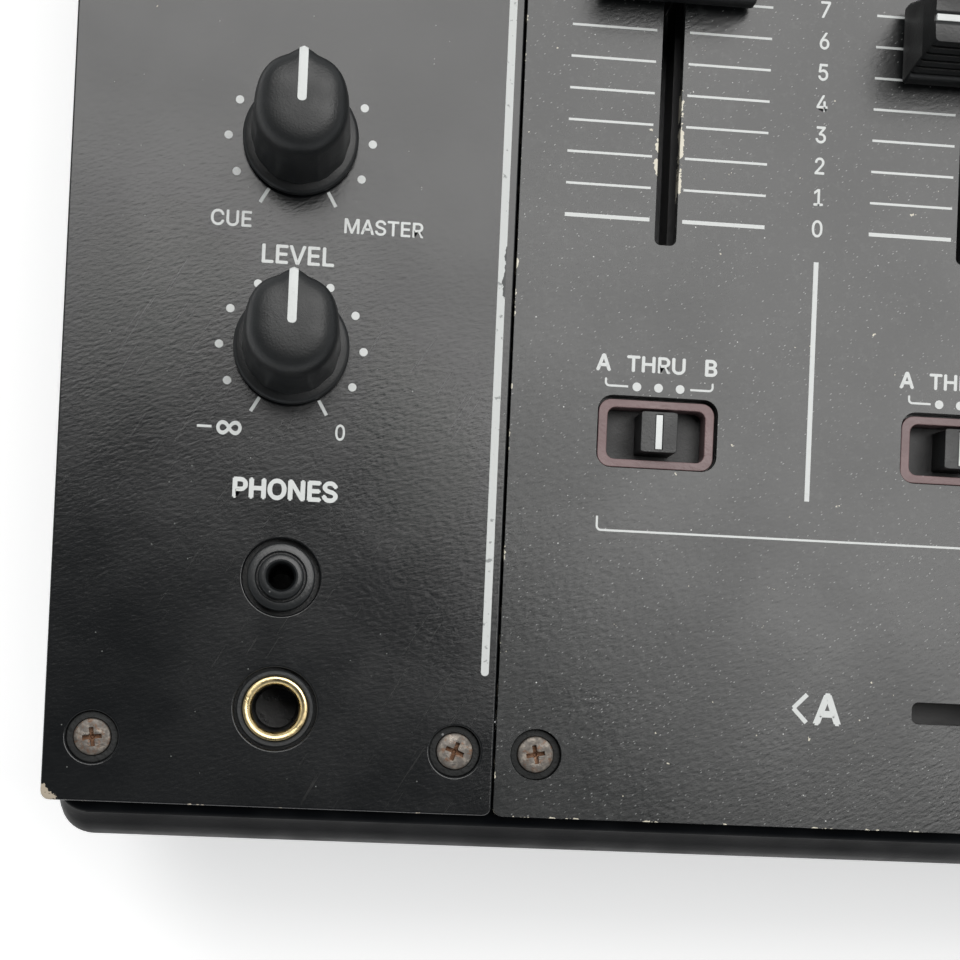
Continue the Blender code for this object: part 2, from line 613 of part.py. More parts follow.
# ---------------------------------------------------------------- sockets and screws
def jack(name, finish, place, sleeve, bore, top):
    """Threaded sleeve through the panel, shoulder and body under it, blind bore from the top."""
    shoulder = PANEL_UNDER - FIT_GAP
    bottom = shoulder - JACK_BODY_LENGTH
    bm = bmesh.new()
    turned(bm, (0, 0), [(JACK_BODY, bottom), (JACK_BODY, shoulder), (sleeve, shoulder),
                        (sleeve, top)])
    body = new_object(name, bm, finish)
    body.location = (*place, 0)
    hollow = bmesh.new()
    prism(hollow, circle(place, bore, HOLE), bottom + JACK_FLOOR, top + SHEET)
    change(body, "DIFFERENCE", hollow)


def make_jacks(finish):
    jack("phones_jack_large", finish, (PHONES_X, row(LARGE_JACK_ROW)), LARGE_JACK_SLEEVE,
         LARGE_JACK_BORE, PANEL_TOP - LARGE_JACK_DROP)
    jack("phones_jack_small", finish, (PHONES_X, row(SMALL_JACK_ROW)), SMALL_JACK_NOSE,
         SMALL_JACK_BORE, PANEL_TOP + SMALL_JACK_PROUD)


def inlet_place():
    return (CASE_LEFT + INLET_FROM_SIDE, INLET_HEIGHT)


def rocker_place():
    return (CASE_LEFT + ROCKER_FROM_SIDE, INLET_HEIGHT)


def make_power_inlet(finish):
    x, z = inlet_place()
    bm = bmesh.new()
    along_y(bm, rounded((x, z), INLET_PLATE, RUN_GAP, 1), REAR - INLET_DEPTH,
             REAR + INLET_FLANGE)
    inlet = new_object("power_inlet", bm, finish)
    hollow = bmesh.new()
    along_y(hollow, rounded((x, z), INLET_RECESS, 3 * MM, 1), REAR - INLET_RECESS_DEPTH,
             REAR + 2 * INLET_FLANGE)
    change(inlet, "DIFFERENCE", hollow)


def make_screws(finish):
    places = {"panel_screw_left_outer": (LEFT + SCREW_INSET, FRONT_SCREW_Y),
              "panel_screw_left_inner": (CENTRE_LEFT - SCREW_FROM_SEAM, FRONT_SCREW_Y),
              "panel_screw_fader_left": (CENTRE_LEFT + SCREW_FROM_SEAM, FRONT_SCREW_Y)}
    under_head = PANEL_TOP - RECESS_DEPTH + FIT_GAP
    for name, place in places.items():
        bm = bmesh.new()
        turned(bm, (0, 0), [(SCREW_SHANK, PANEL_UNDER - SCREW_LENGTH),
                            (SCREW_SHANK, under_head), (SCREW_HEAD, under_head),
                            (SCREW_HEAD, PANEL_TOP - FIT_GAP)], HOLE)
        new_object(name, bm, finish).location = (*place, 0)


# ---------------------------------------------------------------- moving pieces
def knob_places():
    """Name and plan place of every rotary knob."""
    places = {"phones_mix_knob": (PHONES_X, row(PHONES_MIX_ROW)),
              "phones_level_knob": (PHONES_X, row(PHONES_LEVEL_ROW)),
              "mic_level_knob": (PHONES_X, REAR - MIC_FROM_REAR),
              "master_level_knob": (STRIP_MID, REAR - MASTER_FROM_REAR),
              "booth_level_knob": (STRIP_MID, REAR - BOOTH_FROM_REAR),
              "effect_select_knob": (STRIP_MID, row(EFFECT_SELECT_ROW)),
              "effect_depth_knob": (STRIP_MID, row(EFFECT_DEPTH_ROW))}
    for name, distance in (("trim", TRIM_ROW), ("high", HIGH_ROW), ("mid", MID_ROW),
                           ("low", LOW_ROW)):
        for number, x in enumerate(CHANNEL_X, 1):
            places[f"{name}_knob_{number}"] = (x, row(distance))
    return places


def knob_mesh(scale):
    """Shaft, skirt, waisted body and domed crown; one vertex column is pulled out as a nose."""
    lift = 0.5 * MM
    profile = [(SHAFT_RADIUS, -SHAFT_DEPTH), (SHAFT_RADIUS, lift), (KNOB_SKIRT * scale, lift),
               (KNOB_SKIRT * scale, 1.9 * MM), (KNOB_WAIST * scale, 2.9 * MM),
               (KNOB_CROWN * scale, KNOB_HEIGHT - 1.5 * MM),
               (KNOB_CROWN * scale * 0.75, KNOB_HEIGHT)]
    nose_reach = 7.4 * MM * scale
    bm = bmesh.new()
    rings = []
    for radius, z in profile:
        ring = [bm.verts.new((x, y, z)) for x, y in circle((0, 0), radius, ROUND)]
        if z > 2 * MM and z < KNOB_HEIGHT:
            for vert in ring:
                if abs(math.atan2(vert.co.x, vert.co.y)) < math.pi / ROUND * 1.1:
                    vert.co.y = nose_reach
        rings.append(ring)
    rings_to_body(bm, rings)
    return bm


def make_knobs(finish):
    """Each knob's origin is on its shaft's axis, at the height of the panel's top face."""
    big = ("effect_select_knob", "effect_depth_knob")
    first = {}
    for name, place in knob_places().items():
        scale = BIG_KNOB_SCALE if name in big else 1.0
        if scale in first:
            knob = bpy.data.objects.new(name, first[scale].data)
            bpy.context.scene.collection.objects.link(knob)
        else:
            knob = first[scale] = new_object(name, knob_mesh(scale), finish)
        knob.location = (*place, PANEL_TOP)


def fader_mesh(across, along):
    """Cap with sloped sides over a thin stem. across and along are the axes' indices."""
    def plan(half_across, half_along):
        corner = [0.0, 0.0]
        outline = []
        for sx, sy in ((-1, -1), (1, -1), (1, 1), (-1, 1)):
            corner[across] = half_across
            corner[along] = half_along
            outline.append((sx * corner[0], sy * corner[1]))
        return outline

    half, length = CAP_WIDTH / 2, CAP_LENGTH / 2
    levels = [(STEM_WIDTH / 2, STEM_HALF, -STEM_DEPTH), (STEM_WIDTH / 2, STEM_HALF, CAP_CLEAR),
              (half, length, CAP_CLEAR), (half, length, CAP_CLEAR + 2 * MM),
              (half - 0.8 * MM, length - 2.2 * MM, CAP_HEIGHT)]
    bm = bmesh.new()
    rings_to_body(bm, [[bm.verts.new((x, y, z)) for x, y in plan(wide, long)]
                       for wide, long, z in levels])
    return bm


def make_faders(finish):
    """Each fader's origin is the middle of its cap, at the height of the panel's top face."""
    for number, (x, rest) in enumerate(zip(CHANNEL_X, FADER_REST), 1):
        fader = new_object(f"channel_fader_{number}", fader_mesh(0, 1), finish)
        fader.location = (x, row(FADER_ZERO) + rest, PANEL_TOP)
    cross = new_object("crossfader", fader_mesh(1, 0), finish)
    cross.location = (CENTRE_MID, row(CROSSFADER_ROW), PANEL_TOP)


def make_assign_switches(finish):
    floor = -SWITCH_FRAME_DROP - 3.6 * MM
    for number, x in enumerate(CHANNEL_X, 1):
        bm = bmesh.new()
        wide, deep = SWITCH_CAP
        stem = 1.2 * MM
        levels = [(stem, stem, -STEM_DEPTH), (stem, stem, floor), (wide / 2, deep / 2, floor),
                  (wide / 2, deep / 2, SWITCH_PROUD)]
        rings_to_body(bm, [[bm.verts.new((sx * hx, sy * hy, z)) for sx, sy in
                            ((-1, -1), (1, -1), (1, 1), (-1, 1))] for hx, hy, z in levels])
        switch = new_object(f"assign_switch_{number}", bm, finish)
        switch.location = (x, row(SWITCH_ROW), PANEL_TOP)


def make_switch_frame_bar(finish):
    """One moulding under the fader panel, with a raised frame in each switch window."""
    bm = bmesh.new()
    bar_top = PANEL_UNDER - FIT_GAP
    half = SWITCH_WINDOW[0] / 2 + 3 * MM
    centre = (CENTRE_MID, row(SWITCH_ROW))
    block(bm, centre, (CHANNEL_X[-1] - CHANNEL_X[0] + 2 * half, SWITCH_WINDOW[1] + 3 * MM),
          bar_top - 1.5 * MM, bar_top)
    bar = new_object("switch_frame_bar", bm, finish)
    frames, windows = bmesh.new(), bmesh.new()
    outer = [side - 2 * FIT_GAP for side in SWITCH_WINDOW]
    inner = [side - 2 * SWITCH_FRAME_WALL for side in outer]
    for x in CHANNEL_X:
        place = (x, row(SWITCH_ROW))
        prism(frames, rounded(place, outer, 1.3 * MM, 2), bar_top - 1 * MM,
              PANEL_TOP - SWITCH_FRAME_DROP)
        block(windows, place, inner, bar_top - 3 * MM, PANEL_TOP + SHEET)
    change(bar, "UNION", frames)
    change(bar, "DIFFERENCE", windows)


def button_places():
    places = {f"cue_button_{n}": (x, row(CUE_ROW)) for n, x in enumerate(CHANNEL_X, 1)}
    places["effect_button"] = (STRIP_MID, row(EFFECT_BUTTON_ROW))
    return places


def make_buttons(finish):
    """Cap in its panel hole over a plunger; the origin is at the panel's top face."""
    plunger_end = PCB_TOP + 1 * MM + BUTTON_TRAVEL + 2 * RUN_GAP - PANEL_TOP
    for name, place in button_places().items():
        wide, deep = EFFECT_BUTTON if name == "effect_button" else CUE_BUTTON
        bm = bmesh.new()
        prism(bm, rounded((0, 0), (wide, deep), 1.3 * MM, 2), -PANEL_THICK, BUTTON_PROUD)
        button = new_object(name, bm, finish)
        button.location = (*place, PANEL_TOP)
        plunger = bmesh.new()
        prism(plunger, circle(place, PLUNGER_RADIUS, BORE), PANEL_TOP + plunger_end,
              PANEL_TOP)
        change(button, "UNION", plunger)


def make_power_switch(finish):
    """Rocker in the rear panel, tilted to its off side; the hinge is its origin."""
    x, z = rocker_place()
    wide, tall = ROCKER
    bm = bmesh.new()
    half_wide, half_tall = wide / 2 - RUN_GAP, tall / 2 - 2 * RUN_GAP
    side = [(1.0 * MM, -half_tall), (-1.0 * MM, 0), (1.0 * MM, half_tall),
            (-ROCKER_DEPTH, half_tall - 1 * MM), (-ROCKER_DEPTH, 1 * MM - half_tall)]
    along_x(bm, side, -half_wide, half_wide)
    rocker = new_object("power_switch", bm, finish)
    rocker.location = (x, REAR, z)
    rocker.rotation_euler.x = ROCKER_TILT


def main():
    clear_scene()
    finishes = make_finishes()
    make_base_tray(finishes["case_paint"])
    make_feet(finishes["foot_rubber"])
    make_front_bezel(finishes["bezel_plastic"])
    make_left_panel(finishes["strip_paint"])
    make_right_panel(finishes["strip_paint"])
    make_fader_panel(finishes["centre_paint"])
    make_upper_panel(finishes["centre_paint"])
    make_rear_panel(finishes["case_paint"])
    make_control_board(finishes["board"])
    make_fader_board(finishes["board"])
    make_rear_jack_board(finishes["board"])
    make_power_supply(finishes["supply_metal"])
    make_jacks(finishes["jack_plastic"])
    make_power_inlet(finishes["jack_plastic"])
    make_screws(finishes["screw_steel"])
    make_knobs(finishes["knob_rubber"])
    make_faders(finishes["cap_plastic"])
    make_assign_switches(finishes["cap_plastic"])
    make_switch_frame_bar(finishes["frame_plastic"])
    make_buttons(finishes["button_plastic"])
    make_power_switch(finishes["cap_plastic"])


main()
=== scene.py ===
# %% [markdown]
# # A four-channel DJ mixer around its packed frame
# The frame holds every solid at its real size and place. This script loads it, swaps the plain
# solids that show for finely made pieces, prints the legends, and paints everything. Each step
# says what the piece is on the real mixer, how it could be made, and why this way was chosen.

# %% Load the frame
import json
import math
import os

import bpy
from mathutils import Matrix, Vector

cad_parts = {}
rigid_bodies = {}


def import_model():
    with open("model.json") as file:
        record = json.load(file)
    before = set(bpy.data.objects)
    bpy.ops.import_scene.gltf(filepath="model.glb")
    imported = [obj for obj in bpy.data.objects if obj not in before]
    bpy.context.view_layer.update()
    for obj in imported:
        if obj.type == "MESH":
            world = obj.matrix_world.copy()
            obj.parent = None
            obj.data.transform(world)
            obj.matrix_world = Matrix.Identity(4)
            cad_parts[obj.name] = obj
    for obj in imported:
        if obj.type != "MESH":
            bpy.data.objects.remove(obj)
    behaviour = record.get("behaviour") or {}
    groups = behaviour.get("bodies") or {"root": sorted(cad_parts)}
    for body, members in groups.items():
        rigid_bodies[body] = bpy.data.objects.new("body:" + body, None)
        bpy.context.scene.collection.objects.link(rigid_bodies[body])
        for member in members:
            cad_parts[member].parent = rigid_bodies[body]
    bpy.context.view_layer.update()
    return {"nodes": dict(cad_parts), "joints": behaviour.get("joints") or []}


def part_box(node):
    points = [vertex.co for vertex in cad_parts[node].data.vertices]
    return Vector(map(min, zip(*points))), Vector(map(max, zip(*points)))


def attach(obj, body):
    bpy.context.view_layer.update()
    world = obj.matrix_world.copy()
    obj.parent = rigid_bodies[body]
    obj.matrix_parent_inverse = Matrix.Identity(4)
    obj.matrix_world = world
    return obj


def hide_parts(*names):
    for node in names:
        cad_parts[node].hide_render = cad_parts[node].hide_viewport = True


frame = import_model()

nodes = frame["nodes"]

# %% [markdown]
# ## Measures
# Every place comes from the frame's own boxes, so nothing has to be fitted. Lengths are in metres
# and MM turns a length in millimetres into metres. Heights are taken from the panels' top face.

# %% Measures read from the frame
MM = 0.001


def span(node):
    """Left, right, front, back, bottom and top of a node."""
    low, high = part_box(node)
    return low.x, high.x, low.y, high.y, low.z, high.z


LEFT, STRIP_EDGE, FRONT, REAR, UNDER, TOP = span("left_panel")
CENTRE_LEFT, CENTRE_RIGHT, _, FADER_BACK, _, _ = span("fader_panel")
STRIP_RIGHT, RIGHT, _, _, _, _ = span("right_panel")
UPPER_FRONT = span("upper_panel")[2]


def middle(node):
    """Plan centre of a node."""
    low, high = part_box(node)
    return ((low.x + high.x) / 2, (low.y + high.y) / 2)


def axis_of(joint_name):
    """Plan place of a turning joint's axis."""
    for joint in frame["joints"]:
        if joint["name"] == joint_name:
            return joint["pos_m"][0], joint["pos_m"][1]


SWITCHES = [f"assign_switch_{n}" for n in range(1, 5)]
FADERS = [f"channel_fader_{n}" for n in range(1, 5)]
CUES = [f"cue_button_{n}" for n in range(1, 5)]
KNOBS = [name for name in nodes if name.endswith("_knob") or "_knob_" in name]
CHANNEL_X = [middle(name)[0] for name in FADERS]
PITCH = CHANNEL_X[1] - CHANNEL_X[0]
CENTRE_MID = (CENTRE_LEFT + CENTRE_RIGHT) / 2
STRIP_MID = (STRIP_RIGHT + RIGHT) / 2
PHONES_X = axis_of("phones_level_knob_turn")[0]
FADER_ZERO = FRONT + 85 * MM
FADER_STEP = 4.5 * MM
print("panels' top at", round(TOP / MM, 2), "mm, channel pitch", round(PITCH / MM, 2), "mm")

# %% [markdown]
# ## Helpers for modelling by hand
# An operator works on whatever is selected, so each helper first deselects everything. A round
# piece starts as a cylinder whose top cap is extruded and resized ring by ring, the way one would
# draw it out by hand. Holes are Boolean cuts, and a Bevel modifier breaks the edges afterwards.

# %% Select and settle


def pick(*pieces):
    """Leave only these pieces selected, the first one active."""
    bpy.ops.object.select_all(action="DESELECT")
    for piece in pieces:
        piece.select_set(True)
    bpy.context.view_layer.objects.active = pieces[0]


def settle(piece):
    """Write the piece's place into its mesh."""
    pick(piece)
    bpy.ops.object.transform_apply(location=True, rotation=True, scale=True)
    return piece


# %% [markdown]
# ### Starting shapes
# Nearly every part of a mixer begins as a flat block or a round drum. Both are added at one unit's
# size or at their own, and their place is written into the mesh at once, so that every finished
# piece sits at the origin, unturned.

# %% Blocks and drums


def block(name, low, high):
    """A box between two corners."""
    low, high = Vector(low), Vector(high)
    bpy.ops.object.select_all(action="DESELECT")
    bpy.ops.mesh.primitive_cube_add(size=1, location=(low + high) / 2)
    piece = bpy.context.object
    piece.name = name
    piece.scale = high - low
    return settle(piece)


def drum(name, centre, radius, low, high, sides=64):
    """An upright cylinder."""
    bpy.ops.object.select_all(action="DESELECT")
    place = (centre[0], centre[1], (low + high) / 2)
    bpy.ops.mesh.primitive_cylinder_add(vertices=sides, radius=radius, depth=high - low,
                                        location=place)
    piece = bpy.context.object
    piece.name = name
    return settle(piece)


print("starting shapes:", block.__name__, drum.__name__)

# %% [markdown]
# ### Choosing by place
# By hand one would click on faces. In code they are chosen by where they lie and which way they
# look. The selection is cleared in edit mode, set in object mode, and used back in edit mode.

# %% Choose faces, edges and vertices


def nothing_chosen(kind):
    """Clear the selection and set the select mode; ends in object mode."""
    bpy.ops.object.mode_set(mode="EDIT")
    bpy.ops.mesh.select_mode(type=kind)
    bpy.ops.mesh.select_all(action="DESELECT")
    bpy.ops.object.mode_set(mode="OBJECT")


def choose(piece, test):
    """In edit mode, select the faces whose centre and normal pass the test."""
    nothing_chosen("FACE")
    for face in piece.data.polygons:
        face.select = test(face.center, face.normal)
    bpy.ops.object.mode_set(mode="EDIT")


def choose_edges(piece, test):
    """In edit mode, select the edges whose two ends pass the test."""
    nothing_chosen("EDGE")
    for edge in piece.data.edges:
        edge.select = test(*(piece.data.vertices[end].co for end in edge.vertices))
    bpy.ops.object.mode_set(mode="EDIT")


def choose_vertices(piece, test):
    """In edit mode, select the vertices whose place passes the test."""
    nothing_chosen("VERT")
    for vert in piece.data.vertices:
        vert.select = test(vert.co)
    bpy.ops.object.mode_set(mode="EDIT")


print("chosen by place: faces, edges and vertices")

# %% [markdown]
# ### Turned and rounded shapes
# A turned part is a stack of rings, drawn out of a drum's top cap one ring at a time. A moulded or
# punched part is a block whose upright edges are bevelled into round corners.

# %% Draw out and round off


def drawn_up(name, centre, rings, sides=64):
    """A round body drawn out of a cylinder; rings lists (radius, height) along its profile."""
    (first, low), (second, high) = rings[:2]
    piece = drum(name, centre, first, low, high, sides)
    choose(piece, lambda at, normal: normal.z > 0.9)
    bpy.ops.transform.resize(value=(second / first, second / first, 1),
                             center_override=(*centre, high))
    for (inner, below), (outer, above) in zip(rings[1:], rings[2:]):
        lift = {"value": (0, 0, above - below)}
        bpy.ops.mesh.extrude_region_move(TRANSFORM_OT_translate=lift)
        bpy.ops.transform.resize(value=(outer / inner, outer / inner, 1),
                                 center_override=(*centre, above))
    bpy.ops.object.mode_set(mode="OBJECT")
    return piece


def rounded_block(name, centre, size, radius, low, high, segments=6):
    """A box whose upright edges are rounded."""
    half = (size[0] / 2, size[1] / 2)
    piece = block(name, (centre[0] - half[0], centre[1] - half[1], low),
                  (centre[0] + half[0], centre[1] + half[1], high))
    choose_edges(piece, lambda a, b: abs(a.z - b.z) > (high - low) / 2)
    bpy.ops.mesh.bevel(offset=radius, segments=segments, affect="EDGES")
    bpy.ops.object.mode_set(mode="OBJECT")
    return piece


print("shapes drawn out:", drawn_up.__name__, rounded_block.__name__)

# %% [markdown]
# ### Cutting, easing and copying
# A hole is a Boolean cut, which leaves knife-sharp edges, so a Bevel modifier breaks them after
# it. No real edge is quite sharp, and the thin highlight on it is what tells the eye so.

# %% Cut, ease, copy and fit


def joined(name, *pieces):
    """Several pieces as one object."""
    pick(*pieces)
    if len(pieces) > 1:
        bpy.ops.object.join()
    piece = bpy.context.object
    piece.name = name
    return piece


def combined(piece, tool, operation="DIFFERENCE"):
    """Apply a Boolean with the tool and remove the tool."""
    pick(piece)
    step = piece.modifiers.new("shape", "BOOLEAN")
    step.operation = operation
    step.solver = "EXACT"
    step.object = tool
    bpy.ops.object.modifier_apply(modifier=step.name)
    bpy.data.objects.remove(tool)
    return piece


def eased(piece, width, segments=2, angle=35):
    """Break the sharp edges; shading weighted by area keeps the large faces flat."""
    pick(piece)
    step = piece.modifiers.new("edges", "BEVEL")
    step.width = width
    step.segments = segments
    step.limit_method = "ANGLE"
    step.angle_limit = math.radians(angle)
    bpy.ops.object.modifier_apply(modifier=step.name)
    bpy.ops.object.shade_smooth_by_angle(angle=math.radians(50))
    weights = piece.modifiers.new("weights", "WEIGHTED_NORMAL")
    weights.keep_sharp = True
    weights.weight = 100
    bpy.ops.object.modifier_apply(modifier=weights.name)
    return piece


def smooth(piece, angle=30):
    """Shade smooth, but keep edges that turn more than the angle."""
    pick(piece)
    bpy.ops.object.shade_smooth_by_angle(angle=math.radians(angle))
    return piece


def copied(piece, name, move=(0, 0, 0)):
    """A copy with its own mesh, moved in its mesh."""
    pick(piece)
    bpy.ops.object.duplicate()
    twin = bpy.context.object
    twin.name = name
    twin.location = move
    return settle(twin)


def fitted(piece, body, material, slot, *replaced):
    """Give a finished piece its body, its material and the solids that it stands for."""
    piece.data.materials.clear()
    piece.data.materials.append(material)
    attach(piece, body)
    if replaced:
        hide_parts(*replaced)
    return piece


print("fitting a piece gives it a body and a material and hides the solids it replaces")

# %% [markdown]
# ## Finishes
# Paint, rubber and plastic all look alike as flat colours: what tells them apart is grain, flakes,
# dust and wear. Each finish is a node group on Object coordinates, which are metres here, so a
# noise scale of 1000 gives millimetre grains. Values that are the same all over are set on the
# shader itself.

# %% A small kit for building finishes


class Finish:
    """A material under construction, with short words for the nodes that the finishes share."""

    def __init__(self, name, colour, roughness, metallic=0.0, **extra):
        self.material = bpy.data.materials.new(name)
        self.material.use_nodes = True
        self.tree = self.material.node_tree
        self.shader = self.tree.nodes["Principled BSDF"]
        self.colour = (*colour, 1.0)
        self.shader.inputs["Base Color"].default_value = self.colour
        self.shader.inputs["Roughness"].default_value = roughness
        self.shader.inputs["Metallic"].default_value = metallic
        for socket, value in extra.items():
            self.shader.inputs[socket.replace("_", " ")].default_value = value
        self.place = self.add("TexCoord").outputs["Object"]
        self.skin = None
        self.height = None

    def add(self, kind):
        return self.tree.nodes.new("ShaderNode" + kind)

    def link(self, source, socket):
        self.tree.links.new(source, socket)

    def feed(self, socket, value):
        if isinstance(value, (int, float, tuple)):
            socket.default_value = value
        else:
            self.link(value, socket)

    def turned(self, scale, angle=0.0):
        """Object coordinates turned about Z, then stretched along their new axes."""
        mapping = self.add("Mapping")
        mapping.vector_type = "TEXTURE"
        self.link(self.place, mapping.inputs["Vector"])
        mapping.inputs["Rotation"].default_value = (0, 0, math.radians(angle))
        mapping.inputs["Scale"].default_value = [1 / share for share in scale]
        return mapping.outputs["Vector"]

    def noise(self, scale, detail=2.0, roughness=0.5, vector=None, distortion=0.0):
        node = self.add("TexNoise")
        self.link(vector or self.place, node.inputs["Vector"])
        node.inputs["Scale"].default_value = scale
        node.inputs["Detail"].default_value = detail
        node.inputs["Roughness"].default_value = roughness
        node.inputs["Distortion"].default_value = distortion
        return node.outputs["Fac"]

    def cells(self, scale, feature="F1", vector=None):
        node = self.add("TexVoronoi")
        node.feature = feature
        self.link(vector or self.place, node.inputs["Vector"])
        node.inputs["Scale"].default_value = scale
        return node

    def ramp(self, value, low, high, start=0.0, end=1.0):
        """Map a value from low..high to start..end, clamped."""
        node = self.add("MapRange")
        node.interpolation_type = "SMOOTHSTEP"
        self.feed(node.inputs["Value"], value)
        node.inputs["From Min"].default_value = low
        node.inputs["From Max"].default_value = high
        node.inputs["To Min"].default_value = start
        node.inputs["To Max"].default_value = end
        return node.outputs["Result"]

    def sum(self, operation, a, b=0.0):
        node = self.add("Math")
        node.operation = operation
        self.feed(node.inputs[0], a)
        self.feed(node.inputs[1], b)
        return node.outputs[0]

    def near(self, axis, value, reach):
        """1 on the plane where the coordinate has this value, 0 further off than reach."""
        split = self.add("SeparateXYZ")
        self.link(self.place, split.inputs[0])
        off = self.sum("ABSOLUTE", self.sum("SUBTRACT", split.outputs[axis], value))
        return self.ramp(off, 0.0, reach, 1.0, 0.0)

    def within(self, axis, low, high, soft):
        """1 between two values of a coordinate, 0 outside."""
        split = self.add("SeparateXYZ")
        self.link(self.place, split.inputs[0])
        rise = self.ramp(split.outputs[axis], low - soft, low + soft)
        fall = self.ramp(split.outputs[axis], high - soft, high + soft, 1.0, 0.0)
        return self.sum("MULTIPLY", rise, fall)

    def paint(self, mask, colour):
        """Lay a colour over what is there, where the mask is 1."""
        mix = self.add("Mix")
        mix.data_type = "RGBA"
        self.feed(mix.inputs["Factor"], mask)
        self.feed(mix.inputs["A"], self.skin if self.skin else self.colour)
        mix.inputs["B"].default_value = (*colour, 1.0)
        self.skin = mix.outputs["Result"]
        self.link(self.skin, self.shader.inputs["Base Color"])

    def vary(self, socket, value):
        self.link(value, self.shader.inputs[socket])

    def relief(self, height, distance, strength=1.0):
        """Bump; each call adds to the relief that is there."""
        bump = self.add("Bump")
        bump.inputs["Distance"].default_value = distance
        bump.inputs["Strength"].default_value = strength
        self.link(height, bump.inputs["Height"])
        if self.height:
            self.link(self.height, bump.inputs["Normal"])
        self.height = bump.outputs["Normal"]
        self.link(self.height, self.shader.inputs["Normal"])


print("finish kit:", ", ".join(word for word in vars(Finish) if not word.startswith("_")))

# %% [markdown]
# ### Panel paints
# The strip's paint is near black with a fine leathery grain. The centre panel's paint is a dark
# grey with silver flakes in it. A flake is a Voronoi cell picked by its random colour, and only
# its middle is painted, so flakes stay small and scattered. Chips lie only near edges: a mask that
# fades away from the edge's plane is cut by a coarse noise.

# %% Masks for wear and flakes
BARE_METAL = (0.44, 0.38, 0.30)
PRIMER = (0.62, 0.58, 0.47)


def specks(finish, scale, share, size):
    """Mask of small scattered specks: the share of cells that carry one, and their size."""
    warped = finish.cells(scale)
    chosen = finish.add("SeparateColor")
    finish.link(warped.outputs["Color"], chosen.inputs[0])
    picked = finish.ramp(chosen.outputs["Red"], 1 - share, 1 - share + 0.01)
    small = finish.ramp(warped.outputs["Distance"], size * 0.5, size, 1.0, 0.0)
    return finish.sum("MULTIPLY", picked, small)


def scratches(finish, angle, length_scale, width_scale, low):
    """Mask of short fine parallel scratches inside a few random patches."""
    streak = finish.noise(1.0, 1.0, 0.5, finish.turned((length_scale, width_scale, 300), angle))
    patch = finish.noise(28, 2.0)
    lines = finish.ramp(streak, low, low + 0.03)
    return finish.sum("MULTIPLY", lines, finish.ramp(patch, 0.5, 0.62))


def chips(finish, near_edge, coarse=260, depth=0.62):
    """Mask of paint chips that thin out away from an edge."""
    blotch = finish.noise(coarse, 3.0, 0.6)
    fine = finish.noise(coarse * 6, 2.0)
    rough = finish.sum("ADD", blotch, finish.sum("MULTIPLY", fine, 0.25))
    reach = finish.sum("MULTIPLY", near_edge, 0.32)
    return finish.ramp(finish.sum("ADD", rough, reach), depth + 0.28, depth + 0.30)


def panel_grain(finish, scale, depth, angle):
    """Leathery relief whose folds run in one direction."""
    along = finish.turned((1, 2.2, 1), angle)
    grain = finish.noise(scale, 4.0, 0.6, along)
    folds = finish.cells(scale * 0.8, "SMOOTH_F1", along).outputs["Distance"]
    finish.relief(finish.sum("ADD", grain, finish.sum("MULTIPLY", folds, 0.6)), depth, 0.9)


print("masks:", specks.__name__, scratches.__name__, chips.__name__)

# %% [markdown]
# The paints lay those masks over a base colour. Wear sits where hands and tools reach: on the
# front corner, along the seam and on the fader slots' lips. The roughness wanders a little, since
# a paint that is equally glossy all over looks like plastic.

# %% Two paints


def strip_paint():
    coat = Finish("strip_paint", (0.0050, 0.0058, 0.0066), 0.20)
    coat.paint(coat.ramp(coat.noise(34, 3.0), 0.35, 0.7, 0.0, 0.6), (0.0070, 0.0078, 0.0086))
    coat.paint(coat.ramp(coat.noise(2400, 3.0, 0.7), 0.55, 0.80, 0.0, 0.5), (0.018, 0.020, 0.021))
    coat.paint(coat.sum("MULTIPLY", scratches(coat, 60, 90, 2600, 0.70), 0.35), (0.045, 0.045, 0.043))
    coat.paint(specks(coat, 1000, 0.05, 0.12), (0.16, 0.17, 0.16))
    corner = coat.sum("MULTIPLY", coat.near("X", LEFT, 4.2 * MM), coat.near("Y", FRONT, 3.6 * MM))
    seam = coat.sum("MULTIPLY", coat.near("X", STRIP_EDGE, 0.9 * MM), coat.near("Y", FRONT, 5 * MM))
    lip = coat.sum("MULTIPLY", coat.near("Y", FRONT, 0.55 * MM), 0.62)
    edge = coat.sum("MAXIMUM", coat.sum("MAXIMUM", coat.sum("MULTIPLY", corner, 1.5), seam), lip)
    coat.paint(chips(coat, edge, 420, 0.66), BARE_METAL)
    coat.vary("Roughness", coat.ramp(coat.noise(60, 3.0), 0.3, 0.7, 0.17, 0.24))
    panel_grain(coat, 1250, 0.00002, 24)
    return coat.material


